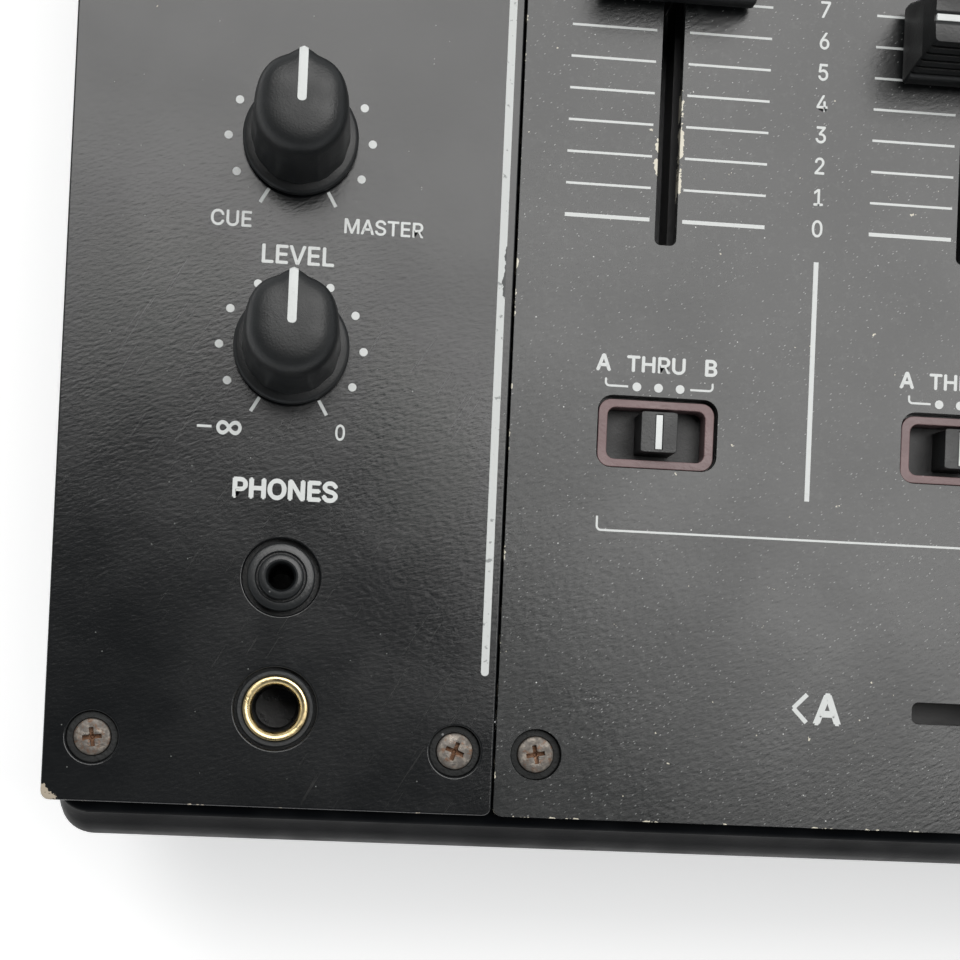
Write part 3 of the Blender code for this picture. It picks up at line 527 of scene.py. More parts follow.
def centre_paint():
    coat = Finish("centre_paint", (0.0125, 0.0138, 0.0142), 0.22)
    coat.paint(coat.ramp(coat.noise(22, 3.0), 0.35, 0.68, 0.0, 0.8), (0.0160, 0.0172, 0.0175))
    coat.paint(coat.ramp(coat.noise(900, 3.0, 0.6), 0.50, 0.76, 0.0, 0.5), (0.045, 0.047, 0.046))
    stretched = coat.turned((1, 2.3, 1), 36)
    pick_cell = coat.cells(1250, "F1", stretched)
    shade = coat.add("SeparateColor")
    coat.link(pick_cell.outputs["Color"], shade.inputs[0])
    chosen = coat.ramp(shade.outputs["Green"], 0.55, 0.95, 0.0, 1.0)
    small = coat.ramp(pick_cell.outputs["Distance"], 0.08, 0.26, 1.0, 0.0)
    flakes = coat.sum("MULTIPLY", chosen, small)
    coat.paint(flakes, (0.26, 0.265, 0.26))
    coat.paint(specks(coat, 900, 0.045, 0.10), (0.68, 0.69, 0.67))
    edge = coat.sum("MAXIMUM", coat.near("Y", FRONT, 0.5 * MM), coat.near("X", CENTRE_LEFT, 0.5 * MM))
    near_front = coat.sum("MULTIPLY", coat.near("X", CENTRE_LEFT, 3 * MM), coat.near("Y", FRONT, 3 * MM))
    edge = coat.sum("MAXIMUM", coat.sum("MULTIPLY", edge, 0.7), coat.sum("MULTIPLY", near_front, 1.3))
    coat.paint(chips(coat, edge, 420, 0.66), PRIMER)
    for x, side in ((CHANNEL_X[0], 1), (CHANNEL_X[0], -1), (CHANNEL_X[2], 1)):
        lip = coat.near("X", x + side * 1.7 * MM, 0.75 * MM)
        stretch = coat.within("Y", FADER_ZERO + (3 if side > 0 else 6) * MM,
                           FADER_ZERO + (19 if side > 0 else 12) * MM, 1.5 * MM)
        coat.paint(chips(coat, coat.sum("MULTIPLY", lip, stretch), 520, 0.60), PRIMER)
    coat.vary("Roughness", coat.ramp(coat.noise(45, 3.0), 0.3, 0.7, 0.19, 0.27))
    panel_grain(coat, 1150, 0.00002, 30)
    return coat.material


STRIP_PAINT = strip_paint()
CENTRE_PAINT = centre_paint()
print("panel paints:", STRIP_PAINT.name, CENTRE_PAINT.name)

# %% [markdown]
# ### Plastics, rubber and metals
# Soft-touch rubber scatters light at grazing angles, so it gets a little sheen. Moulded plastic
# has a very fine spark texture. Old screws are dull steel with rust in their cross, which is a
# mask by depth: the recess lies deeper than the head's top.

# %% Moulded plastic and metal


def moulded(name, colour, roughness, grain=2600, depth=0.00005, dust=0.012, mottle=0.7, **extra):
    """Spark-eroded plastic with a little dust."""
    coat = Finish(name, colour, roughness, **extra)
    lighter = tuple(min(1.0, c * 1.35 + 0.004) for c in colour)
    coat.paint(coat.ramp(coat.noise(90, 3.0), 0.4, 0.7, 0.0, mottle), lighter)
    if dust:
        coat.paint(specks(coat, 520, dust, 0.12), tuple(min(1.0, c + 0.22) for c in colour))
    coat.vary("Roughness", coat.ramp(coat.noise(140, 3.0), 0.3, 0.7, roughness - 0.05, roughness + 0.07))
    coat.relief(coat.noise(grain, 3.0, 0.6), depth, 0.8)
    return coat.material


def metal(name, colour, roughness, stain, stain_share=0.5, grain=1200):
    """Metal with a darker tarnish in patches."""
    coat = Finish(name, colour, roughness, 1.0)
    coat.paint(coat.ramp(coat.noise(420, 4.0, 0.6), stain_share, stain_share + 0.22), stain)
    coat.vary("Roughness", coat.ramp(coat.noise(700, 3.0), 0.3, 0.7, roughness - 0.08, roughness + 0.14))
    coat.relief(coat.noise(grain, 3.0), 0.00004, 0.7)
    return coat.material


print("recipes:", moulded.__name__, metal.__name__)

# %% [markdown]
# ### Steel, ink and brass
# Screws rust in their cross and ink is rubbed thin: wear of their own. A socket's brass bushing is
# tarnished in patches and bright at its mouth. Down inside its bore it is painted near black, which is
# painted shade over its tarnish. Where that painted shade lies the brass stops being metal, as its
# Metallic is driven by the same depth mask.

# %% Screw steel, inks and brass


def screw_steel():
    coat = Finish("screw_steel", (0.17, 0.155, 0.14), 0.5, 0.75)
    coat.paint(coat.ramp(coat.noise(900, 4.0, 0.6), 0.46, 0.66), (0.30, 0.27, 0.235))
    rust = coat.ramp(coat.noise(1100, 4.0, 0.7), 0.50, 0.66)
    coat.paint(coat.sum("MULTIPLY", rust, 0.7), (0.20, 0.095, 0.045))
    split = coat.add("SeparateXYZ")
    coat.link(coat.place, split.inputs[0])
    deep = coat.ramp(split.outputs["Z"], TOP - 0.85 * MM, TOP - 0.55 * MM, 1.0, 0.0)
    coat.paint(coat.sum("MULTIPLY", deep, 0.85), (0.16, 0.075, 0.035))
    coat.vary("Roughness", coat.ramp(coat.noise(800, 3.0), 0.3, 0.7, 0.42, 0.72))
    coat.relief(coat.noise(1500, 4.0, 0.6), 0.00012, 0.9)
    return coat.material


def printed_ink():
    coat = Finish("legend_ink", (0.66, 0.68, 0.67), 0.5)
    coat.paint(coat.ramp(coat.noise(1500, 3.0, 0.6), 0.56, 0.80, 0.0, 0.5), (0.50, 0.52, 0.51))
    coat.relief(coat.noise(1500, 3.0), 0.00005, 0.6)
    return coat.material


def stripe_ink():
    """The strip's long line is rubbed away along part of its right side."""
    coat = Finish("stripe_ink", (0.60, 0.62, 0.61), 0.5)
    worn_stretch = coat.within("Y", FRONT + 72 * MM, FRONT + 80 * MM, 1.2 * MM)
    side = coat.near("X", STRIP_EDGE - 1.15 * MM, 0.6 * MM)
    coat.paint(chips(coat, coat.sum("MULTIPLY", worn_stretch, side), 520, 0.54), (0.05, 0.053, 0.054))
    coat.paint(coat.ramp(coat.noise(700, 4.0, 0.65), 0.60, 0.66, 0.0, 0.75), (0.16, 0.17, 0.17))
    coat.relief(coat.noise(1500, 3.0), 0.00005, 0.6)
    return coat.material


def bushing_brass():
    """Worn brass; down inside the bore it is painted near black, a painted shade over its tarnish."""
    coat = Finish("contact_brass", (0.82, 0.66, 0.36), 0.26, 1.0)
    tarnish = coat.ramp(coat.noise(330, 3.0, 0.6), 0.54, 0.72, 0.0, 0.8)
    coat.paint(tarnish, (0.40, 0.29, 0.17))
    split = coat.add("SeparateXYZ")
    coat.link(coat.place, split.inputs[0])
    # Painted shade: below the mouth the bore is painted near black and stops being metal.
    deep = coat.ramp(split.outputs["Z"], TOP - 2.6 * MM, TOP - 1.3 * MM, 1.0, 0.0)
    coat.paint(deep, (0.004, 0.004, 0.004))
    coat.vary("Metallic", coat.sum("SUBTRACT", 1.0, deep))
    coat.vary("Roughness", coat.ramp(coat.noise(500, 3.0), 0.3, 0.7, 0.22, 0.42))
    coat.relief(coat.noise(1600, 3.0), 0.00005, 0.7)
    return coat.material


print("special finishes:", screw_steel.__name__, printed_ink.__name__, bushing_brass.__name__)

# %% [markdown]
# ### The mixer's own finishes
# Every plastic is the same recipe with its own colour, gloss and grain. Nothing here is pure
# black: real black plastic reflects two to four per cent of the light.

# %% Finishes in use
BEZEL = moulded("bezel_plastic", (0.0020, 0.0026, 0.0034), 0.42, 1800, 0.00003, 0.006,
                Specular_IOR_Level=0.05)
CASE = moulded("case_paint", (0.016, 0.017, 0.018), 0.46, 1300, 0.00012, 0.03, 0.15)
RUBBER = moulded("knob_rubber", (0.0052, 0.0062, 0.0068), 0.45, 3200, 0.00005, 0.02,
                 Sheen_Weight=0.03, Sheen_Roughness=0.4)
CAP = moulded("cap_plastic", (0.0075, 0.0080, 0.0083), 0.40)
BUTTON = moulded("button_plastic", (0.30, 0.315, 0.32), 0.38, 2600, 0.00004, 0.006)
FRAME_PLASTIC = moulded("frame_plastic", (0.165, 0.105, 0.106), 0.42, 1300, 0.00010, 0.03)
JACK_BLACK = moulded("jack_plastic", (0.014, 0.0155, 0.0165), 0.34, 2400, 0.00004, 0.03)
WELL = moulded("switch_well", (0.0055, 0.0055, 0.0060), 0.5)
FOOT = moulded("foot_rubber", (0.012, 0.012, 0.012), 0.8, 1500, 0.00015, 0.03)
BOARD = moulded("board", (0.008, 0.075, 0.032), 0.42, 900, 0.00008, 0.0)
WHITE_PLASTIC = moulded("white_plastic", (0.62, 0.64, 0.63), 0.42, 2400, 0.00003, 0.0)
RED_PLASTIC = moulded("red_plastic", (0.42, 0.018, 0.014), 0.4, 2400, 0.00003, 0.0)
LENS = moulded("lamp_lens", (0.005, 0.006, 0.007), 0.12, 300, 0.00001, 0.01,
               Coat_Weight=0.5, Coat_Roughness=0.05)
GREEN_LAMP = moulded("green_lamp", (0.015, 0.11, 0.03), 0.2, 600, 0.00001, 0.0)
AMBER_LAMP = moulded("amber_lamp", (0.30, 0.12, 0.01), 0.2, 600, 0.00001, 0.0)
RED_LAMP = moulded("red_lamp", (0.24, 0.012, 0.01), 0.2, 600, 0.00001, 0.0)
CASE_SCREW = metal("case_screw", (0.12, 0.12, 0.12), 0.4, (0.06, 0.06, 0.06))
BRASS = bushing_brass()
STEEL = metal("plain_steel", (0.50, 0.50, 0.49), 0.34, (0.22, 0.21, 0.20), 0.55)
ALUMINIUM = metal("supply_metal", (0.58, 0.59, 0.61), 0.38, (0.40, 0.40, 0.41), 0.5)
SCREW = screw_steel()
INK = printed_ink()
STRIPE = stripe_ink()
print("finishes made:", len(bpy.data.materials))

# %% [markdown]
# ## Top panels
# The real panels are folded steel plates with punched holes, then painted. Each starts as a block
# with rounded upright edges. The holes are cylinders joined to one cutter, and a screw's recess
# and clearance hole are one stepped cylinder. One Boolean per panel keeps the cuts clean.

# %% Measures of the holes
SHAFT_HOLE = 3.35 * MM
SLOT = 3.1 * MM
SLOT_RUN = 52 * MM
CROSS_SLOT_RUN = 54.8 * MM
SWITCH_ROW = middle("assign_switch_1")[1]
SWITCH_WINDOW = (17.2 * MM, 10.2 * MM)
CUE_ROW = middle("cue_button_1")[1]
CROSS_ROW = middle("crossfader")[1]
END_INSET = 8.8 * MM
SIDE_INSET = 6.6 * MM
SEAM_INSET = 5.7 * MM
FRONT_SCREWS = FRONT + END_INSET
MIDDLE_SCREWS = FADER_BACK - END_INSET
REAR_SCREWS = REAR - END_INSET
LEFT_SCREWS = (LEFT + SIDE_INSET, CENTRE_LEFT - SEAM_INSET)
CENTRE_SCREWS = (CENTRE_LEFT + SEAM_INSET, CENTRE_RIGHT - SEAM_INSET)
RIGHT_SCREWS = (CENTRE_RIGHT + SEAM_INSET, RIGHT - SIDE_INSET)
LARGE_JACK = middle("phones_jack_large")
SMALL_JACK = middle("phones_jack_small")
BELOW, ABOVE = UNDER - 1 * MM, TOP + 1 * MM


print("screw rows", round((MIDDLE_SCREWS - FRONT_SCREWS) / MM, 1), "mm apart on the fader panel")

# %% [markdown]
# ### Plates and holes
# A panel's front edge is the bright line in its outline, so all edges that the punch left are
# softened together, holes and all.

# %% Cutters for the panels


def plate(name, left, right, front, back):
    centre = ((left + right) / 2, (front + back) / 2)
    size = (right - left, back - front)
    return rounded_block(name, centre, size, 1.2 * MM, UNDER, TOP, 4)


def hole(centre, radius):
    return drum("hole", centre, radius, BELOW, ABOVE, 72)


def screw_hole(centre):
    floor = TOP - 1.3 * MM
    rings = [(1.6 * MM, BELOW), (1.6 * MM, floor), (3.6 * MM, floor), (3.6 * MM, ABOVE)]
    return drawn_up("hole", centre, rings, 56)


def window(centre, size, radius):
    return rounded_block("hole", centre, size, radius, BELOW, ABOVE, 6)


def knob_holes(names):
    return [hole(axis_of(name + "_turn"), SHAFT_HOLE) for name in names]


def punched(panel, holes):
    """Cut all the holes and soften every edge that the punch left."""
    return eased(combined(panel, joined("cutter", *holes)), 0.28 * MM, 3)


print("cutters:", hole.__name__, screw_hole.__name__, window.__name__)

# %% Cut the panels
left_knobs = [name for name in KNOBS if abs(axis_of(name + "_turn")[0] - PHONES_X) < MM]
right_knobs = [name for name in KNOBS if axis_of(name + "_turn")[0] > STRIP_RIGHT]
tone_knobs = [name for name in KNOBS if name not in left_knobs + right_knobs]

holes = knob_holes(left_knobs)
holes += [hole(LARGE_JACK, 5.75 * MM), hole(SMALL_JACK, 5.35 * MM)]
holes += [screw_hole((x, y)) for x in LEFT_SCREWS for y in (FRONT_SCREWS, REAR_SCREWS)]
left_plate = punched(plate("left_plate", LEFT, STRIP_EDGE, FRONT, REAR), holes)
fitted(left_plate, "chassis", STRIP_PAINT, "strip_paint", "left_panel")

effect_button = middle("effect_button")
holes = knob_holes(right_knobs) + [window(effect_button, (18.7 * MM, 18.7 * MM), 1.5 * MM)]
holes += [screw_hole((x, y)) for x in RIGHT_SCREWS for y in (FRONT_SCREWS, REAR_SCREWS)]
right_plate = punched(plate("right_plate", STRIP_RIGHT, RIGHT, FRONT, REAR), holes)
fitted(right_plate, "chassis", STRIP_PAINT, "strip_paint", "right_panel")

slot_middle = FADER_ZERO + 22.5 * MM
holes = [window((x, slot_middle), (SLOT, SLOT_RUN), 0.9 * MM) for x in CHANNEL_X]
holes += [window((x, SWITCH_ROW), SWITCH_WINDOW, 2.1 * MM) for x in CHANNEL_X]
holes += [window((CENTRE_MID, CROSS_ROW), (CROSS_SLOT_RUN, SLOT), 0.9 * MM)]
holes += [screw_hole((x, y)) for x in CENTRE_SCREWS for y in (FRONT_SCREWS, MIDDLE_SCREWS)]
fader_plate = punched(plate("fader_plate", CENTRE_LEFT, CENTRE_RIGHT, FRONT, FADER_BACK), holes)
fitted(fader_plate, "chassis", CENTRE_PAINT, "centre_paint", "fader_panel")

holes = knob_holes(tone_knobs)
holes += [window((x, CUE_ROW), (13.7 * MM, 7.7 * MM), 1.5 * MM) for x in CHANNEL_X]
holes += [screw_hole((x, REAR_SCREWS)) for x in CENTRE_SCREWS]
upper_plate = punched(plate("upper_plate", CENTRE_LEFT, CENTRE_RIGHT, UPPER_FRONT, REAR), holes)
fitted(upper_plate, "chassis", CENTRE_PAINT, "centre_paint", "upper_panel")
print("panels cut:", len(left_plate.data.polygons), len(fader_plate.data.polygons), "faces")

# %% [markdown]
# ## Legends
# Screen-printed ink is a film of about 0.03 mm, so each legend is a real, very thin solid that
# stands on the paint. Letters start as text objects, which become meshes before they are placed.
# Lines are thin blocks and dots thin cylinders. A panel's legends are joined to one piece. The
# plain grotesque that comes with Blender suits such a front panel better than its default face.

# %% Type
type_file = os.path.join(bpy.utils.system_resource("DATAFILES", path="fonts"), "Inter.woff2")
TYPEFACE = bpy.data.fonts.load(type_file) if os.path.exists(type_file) else None
INK_LOW, INK_HIGH = TOP - 0.01 * MM, TOP + 0.025 * MM


def typed(words, weight=0.0):
    """Words as a mesh one unit tall, on the X axis; heavy type is overprinted a hair apart."""
    bpy.ops.object.select_all(action="DESELECT")
    bpy.ops.object.text_add(location=(0, 0, 0))
    text = bpy.context.object
    text.data.body = words
    if TYPEFACE:
        text.data.font = TYPEFACE
    text.data.resolution_u = 3
    text.data.extrude = 0.008
    bpy.ops.object.convert(target="MESH")
    bpy.ops.object.mode_set(mode="EDIT")
    bpy.ops.mesh.select_all(action="SELECT")
    bpy.ops.mesh.remove_doubles(threshold=0.0002)
    bpy.ops.mesh.normals_make_consistent(inside=False)
    bpy.ops.object.mode_set(mode="OBJECT")
    piece = bpy.context.object
    if not weight:
        return piece
    shifts = ((weight, 0), (-weight, 0), (0, weight), (0, -weight))
    return joined("words", piece, *[copied(piece, "print", (dx, dy, 0.0004 * (layer + 1)))
                                    for layer, (dx, dy) in enumerate(shifts)])


capital = typed("H")
CAP_SHARE = capital.dimensions.y
bpy.data.objects.remove(capital)
print("a capital is", round(CAP_SHARE, 3), "of the type size")


def lettering(words, centre, cap, weight=0.012, squeeze=1.0, turn=0.0, facing="up"):
    """Words centred on a place, with this capital height."""
    piece = typed(words, weight)
    size = cap / CAP_SHARE
    low_x = min(v.co.x for v in piece.data.vertices)
    high_x = max(v.co.x for v in piece.data.vertices)
    pick(piece)
    piece.location = (-(low_x + high_x) / 2 * size * squeeze, -cap / 2, 0)
    piece.scale = (size * squeeze, size, 0.012 * MM / 0.008)
    settle(piece)
    if facing == "back":
        piece.rotation_euler = (math.radians(90), 0, math.radians(180))
        piece.location = centre
    else:
        piece.rotation_euler = (0, 0, math.radians(turn))
        piece.location = (*centre, (INK_LOW + INK_HIGH) / 2)
    return settle(piece)


print("type comes from", "a plain grotesque" if TYPEFACE else "the default face")

# %% [markdown]
# ### Lines and dots
# Two films of ink whose tops lie at one height would flicker where they cross, so one of them is
# sunk a few thousandths of a millimetre. That is far too little to see.

# %% Lines, bends and dots


def line(start, end, width, sink=0.0):
    """A printed line between two places; sink lowers its top under a neighbour's."""
    a, b = Vector(start), Vector(end)
    run = b - a
    bpy.ops.object.select_all(action="DESELECT")
    bpy.ops.mesh.primitive_cube_add(size=1, location=(*((a + b) / 2), (INK_LOW + INK_HIGH) / 2))
    piece = bpy.context.object
    piece.name = "line"
    piece.location.z -= sink / 2
    piece.scale = (run.length, width, INK_HIGH - INK_LOW - sink)
    piece.rotation_euler.z = math.atan2(run.y, run.x)
    return settle(piece)


def bent(start, corner, end, radius, width=0.3 * MM):
    """A printed line that turns a rounded corner."""
    a, c, b = Vector(start), Vector(corner), Vector(end)
    to_a, to_b = (a - c).normalized(), (b - c).normalized()
    centre = c + (to_a + to_b) * radius
    steps = 5
    arc = [centre - (to_b * math.cos(turn) + to_a * math.sin(turn)) * radius
           for turn in (math.radians(90) * step / steps for step in range(steps + 1))]
    points = [a, *arc, b]
    marks = [line(p, q, width, 0.002 * MM * (number % 2))
             for number, (p, q) in enumerate(zip(points, points[1:]))]
    top = INK_HIGH - 0.004 * MM
    return marks + [drum("dot", p, width / 2, INK_LOW, top, 16) for p in points[:-1]]


def sized(piece, across, tall):
    """Resize a flat piece about its middle to this width and height."""
    low = Vector(map(min, zip(*[v.co for v in piece.data.vertices])))
    high = Vector(map(max, zip(*[v.co for v in piece.data.vertices])))
    pick(piece)
    bpy.ops.transform.resize(value=(across / (high.x - low.x), tall / (high.y - low.y), 1),
                             center_override=(low + high) / 2)
    return settle(piece)


def dot(centre, across=1.2 * MM):
    return drum("dot", centre, across / 2, INK_LOW, INK_HIGH, 28)


def printed(name, marks, ink=None):
    piece = joined(name, *marks)
    return fitted(piece, "chassis", ink or INK, "legend_ink")


def dial(centre, scale=1.0):
    """Dots round a knob every 30 degrees and a tick at each end of its turn."""
    x, y = centre
    marks = []
    for step in range(-4, 5):
        turn = math.radians(30 * step)
        reach = 10.0 * MM * scale
        marks.append(dot((x + reach * math.sin(turn), y + reach * math.cos(turn)), 1.15 * MM))
    for side in (-1, 1):
        turn = math.radians(150 * side)
        inner, outer = 8.2 * MM * scale, 10.5 * MM * scale
        marks.append(line((x + inner * math.sin(turn), y + inner * math.cos(turn)),
                          (x + outer * math.sin(turn), y + outer * math.cos(turn)), 0.47 * MM))
    return marks


print("ink stands", round((INK_HIGH - TOP) / MM, 3), "mm above the paint")

# %% [markdown]
# ### Headphone strip
# The strip carries the two headphone dials, their words, and a long white line beside the seam.
# The line is its own piece, because its ink is rubbed off along part of its side.

# %% Print the headphone strip


def at(x, y):
    """A place given in millimetres from the panels' front left corner."""
    return (LEFT + x * MM, FRONT + y * MM)


marks = []
for name in left_knobs:
    marks += dial(axis_of(name + "_turn"))
marks += [lettering("CUE", at(22.3, 81.35), 2.1 * MM, 0.014, 0.98),
          lettering("MASTER", at(43.5, 81.3), 2.0 * MM, 0.014, 1.0),
          lettering("LEVEL", at(31.75, 76.75), 2.5 * MM, 0.016, 1.0),
          lettering("PHONES", at(31.44, 44.05), 2.6 * MM, 0.032, 1.0),
          line(at(18.9, 52.3), at(20.9, 52.3), 0.34 * MM),
          lettering("0", at(38.65, 52.4), 2.1 * MM, 0.012, 0.86),
          sized(lettering("\u221e", at(23.3, 52.4), 2.1 * MM), 3.5 * MM, 2.0 * MM)]
mic_x, mic_y = axis_of("mic_level_knob_turn")
marks += [lettering("MIC", (mic_x, mic_y + 16 * MM), 2.6 * MM, 0.030),
          lettering("MIN", (mic_x - 9.5 * MM, mic_y - 12.4 * MM), 1.9 * MM),
          lettering("MAX", (mic_x + 9.5 * MM, mic_y - 12.4 * MM), 1.9 * MM)]
printed("strip_legends", marks)

LINE_LOW, LINE_HIGH = FRONT + 19.5 * MM, REAR - 24 * MM


def long_line(name, x, ink):
    """The long line that runs beside a seam, with round ends."""
    stripe = rounded_block(name, (x, (LINE_LOW + LINE_HIGH) / 2), (1.1 * MM, LINE_HIGH - LINE_LOW),
                           0.5 * MM, INK_LOW, INK_HIGH, 4)
    return fitted(stripe, "chassis", ink, "legend_ink")


long_line("long_line", LEFT + 60.3 * MM, STRIPE)
print("strip legends printed for", len(left_knobs), "dials")

# %% [markdown]
# ### Fader panel
# Every channel has the same prints, so they are drawn once per channel by one function: the
# fader's scale of eleven lines with a gap round the slot, and the assign switch's bracket.

# %% Print the fader panel
SWITCH_WORDS = FRONT + 64.45 * MM
A_OFFSET = 8.05 * MM
A_CAP = 2.2 * MM
CROSS_LETTERS = 39.75 * MM
CROSS_CAP = 4.1 * MM


def crossbar(centre, cap):
    """A bar printed over the one of an A, to close the pinholes where its strokes overlap."""
    y = centre[1] - 0.18 * cap
    return line((centre[0] - 0.25 * cap, y), (centre[0] + 0.25 * cap, y), 0.12 * cap, 0.003 * MM)


def channel_marks(x, number):
    """Scale, assign switch's words and bracket of one channel; the last has no digits."""
    marks = [crossbar((x - A_OFFSET, SWITCH_WORDS), A_CAP)]
    for step in range(11):
        y = FADER_ZERO + step * FADER_STEP
        width = 0.55 * MM if step in (0, 10) else 0.34 * MM
        marks.append(line((x - 14.5 * MM, y), (x - 2.4 * MM, y), width))
        marks.append(line((x + 2.3 * MM, y), (x + 14.2 * MM, y), width))
        if number < 4:
            digit = lettering(str(step), (x + 21.85 * MM, y + 0.3 * MM), 2.3 * MM, 0.012, 0.9)
            marks.append(digit)
    if number < 4:
        marks.append(line((x + 21.9 * MM, FRONT + 46.3 * MM),
                          (x + 21.9 * MM, FRONT + 80.5 * MM), 0.7 * MM))
    marks += [lettering("A", (x - A_OFFSET, SWITCH_WORDS), A_CAP, 0.026),
              lettering("THRU", (x - 0.55 * MM, SWITCH_WORDS), 2.15 * MM, 0.020, 1.06),
              lettering("B", (x + 7.35 * MM, SWITCH_WORDS), A_CAP, 0.026)]
    low, high = FRONT + 61.2 * MM, FRONT + 62.15 * MM
    for side in (-1, 1):
        corner = x + side * 7.65 * MM
        marks += bent((corner, high), (corner, low), (x + side * 4.45 * MM, low), 0.5 * MM)
    marks += [dot((x + step * 3.1 * MM - 0.1 * MM, low), 1.25 * MM) for step in (-1, 0, 1)]
    return marks


marks = []
for number, x in enumerate(CHANNEL_X, 1):
    marks += channel_marks(x, number)
bracket_low, bracket_high = FRONT + 40.76 * MM, FRONT + 42.6 * MM
for side in (-1, 1):
    corner = CENTRE_MID + side * 73.95 * MM
    marks += bent((corner, bracket_high), (corner, bracket_low), (CENTRE_MID, bracket_low),
                  0.6 * MM)
    tip, wide = CENTRE_MID + side * 44.7 * MM, CENTRE_MID + side * 42.75 * MM
    letter = "A" if side < 0 else "B"
    marks += [line((tip, CROSS_ROW), (wide, CROSS_ROW + 2.0 * MM), 0.62 * MM),
              line((tip, CROSS_ROW), (wide, CROSS_ROW - 2.0 * MM), 0.62 * MM, 0.002 * MM),
              lettering(letter, (CENTRE_MID + side * CROSS_LETTERS, CROSS_ROW), CROSS_CAP, 0.030)]
marks.append(crossbar((CENTRE_MID - CROSS_LETTERS, CROSS_ROW), CROSS_CAP))
printed("fader_legends", marks)
print("fader panel printed:", 11 * len(CHANNEL_X), "scale lines")

# %% [markdown]
# ### Upper panel and effect strip
# Only plain words stand here: the names of the tone controls, the channels' numbers and the
# levels. A small cap height keeps them in proportion with the dials.

# %% Print the upper panel and the right strip
marks = []
words = {"trim": "TRIM", "high": "HI", "mid": "MID", "low": "LOW"}
for name in tone_knobs:
    place = axis_of(name + "_turn")
    marks += dial(place)
    marks.append(lettering(words[name.split("_")[0]], (place[0], place[1] + 14.2 * MM),
                           2.1 * MM, 0.014))
for number, x in enumerate(CHANNEL_X, 1):
    marks.append(lettering("CUE", (x, CUE_ROW + 7.6 * MM), 2.1 * MM, 0.016))
    marks.append(lettering(str(number), (x, REAR - 33.5 * MM), 4.4 * MM, 0.030))
for x in CHANNEL_X[:-1]:
    marks.append(line((x + PITCH / 2, UPPER_FRONT + 12 * MM),
                      (x + PITCH / 2, CUE_ROW + 12 * MM), 0.7 * MM))
printed("upper_legends", marks)

marks = []
titles = {"master_level_knob": ("MASTER", 15.5), "booth_level_knob": ("BOOTH", 15.5),
          "effect_select_knob": ("SELECT", 18.5), "effect_depth_knob": ("DEPTH", 18.5)}
for name, (title, above) in titles.items():
    place = axis_of(name + "_turn")
    marks += dial(place, 1.32 if "effect" in name else 1.0)
    marks.append(lettering(title, (place[0], place[1] + above * MM), 2.3 * MM, 0.022))
marks += [lettering("EFFECT", (STRIP_MID, effect_button[1] + 19.5 * MM), 2.6 * MM, 0.030),
          lettering("ON / OFF", (STRIP_MID, effect_button[1] - 14.5 * MM), 2.1 * MM, 0.014)]
printed("right_legends", marks)
long_line("right_long_line", STRIP_RIGHT + 3.7 * MM, INK)
print("words:", ", ".join(sorted(words.values())))

# %% [markdown]
# ### Lamps and display
# A level meter is a dark glossy strip with small lamps behind it, green below and red on top. One
# lamp is modelled and copied. The effect strip has a dark display window in a thin frame.

# %% Model the meters and the display
lamp = eased(block("lamp", (-1.5 * MM, -0.8 * MM, -0.2 * MM), (1.5 * MM, 0.8 * MM, 0.3 * MM)),
             0.14 * MM, 2)
lamps = {"green": [], "amber": [], "red": []}
strips = []


def meter(x, low, count, pitch):
    """A column of lamps on its dark strip."""
    high = low + (count - 1) * pitch
    strips.append(eased(rounded_block("strip", (x, (low + high) / 2),
                                      (4.6 * MM, high - low + 5 * MM), 1 * MM,
                                      TOP - 0.3 * MM, TOP + 0.12 * MM, 4), 0.08 * MM))
    for step in range(count):
        share = step / (count - 1)
        colour = "green" if share < 0.62 else "amber" if share < 0.85 else "red"
        lamps[colour].append(copied(lamp, "lamp", (x, low + step * pitch, TOP)))


for x in CHANNEL_X:
    meter(x + 15.2 * MM, FRONT + 219 * MM, 15, 5 * MM)
for side in (-1, 1):
    meter(STRIP_MID + side * 4.5 * MM, FRONT + 251 * MM, 15, 4 * MM)
bpy.data.objects.remove(lamp)
for colour, material in (("green", GREEN_LAMP), ("amber", AMBER_LAMP), ("red", RED_LAMP)):
    fitted(joined(f"{colour}_lamps", *lamps[colour]), "chassis", material, "lamp_lens")
fitted(joined("meter_strips", *strips), "chassis", LENS, "lamp_lens")

DISPLAY = (STRIP_MID, FRONT + 212 * MM)
surround = rounded_block("display_frame", DISPLAY, (60 * MM, 38 * MM), 2.2 * MM,
                         TOP - 0.3 * MM, TOP + 1.0 * MM, 6)
opening = rounded_block("opening", DISPLAY, (53 * MM, 30 * MM), 1.2 * MM,
                        TOP - 1 * MM, TOP + 2 * MM, 6)
fitted(eased(combined(surround, opening), 0.35 * MM, 3), "chassis", JACK_BLACK, "frame_plastic")
pane = rounded_block("display_pane", DISPLAY, (53.4 * MM, 30.4 * MM), 1.2 * MM,
                     TOP - 0.3 * MM, TOP + 0.45 * MM, 4)
fitted(eased(pane, 0.1 * MM), "chassis", LENS, "lamp_lens")
marks = [lettering(letter, (STRIP_MID + side * 4.5 * MM, FRONT + 245 * MM), 1.9 * MM, 0.014)
         for side, letter in ((-1, "L"), (1, "R"))]
marks += [lettering(str(value), (STRIP_MID + side * 11.5 * MM, FRONT + (251 + step * 4) * MM),
                    1.7 * MM) for side in (-1, 1)
          for step, value in ((0, -30), (4, -15), (8, -5), (10, 0), (14, 10))]
marks += [line(at(7, y), at(55, y), 0.4 * MM) for y in (119, 321)]
printed("meter_legends", marks)
print("meters:", len(CHANNEL_X) + 2, "with", sum(len(group) for group in lamps.values()), "lamps")

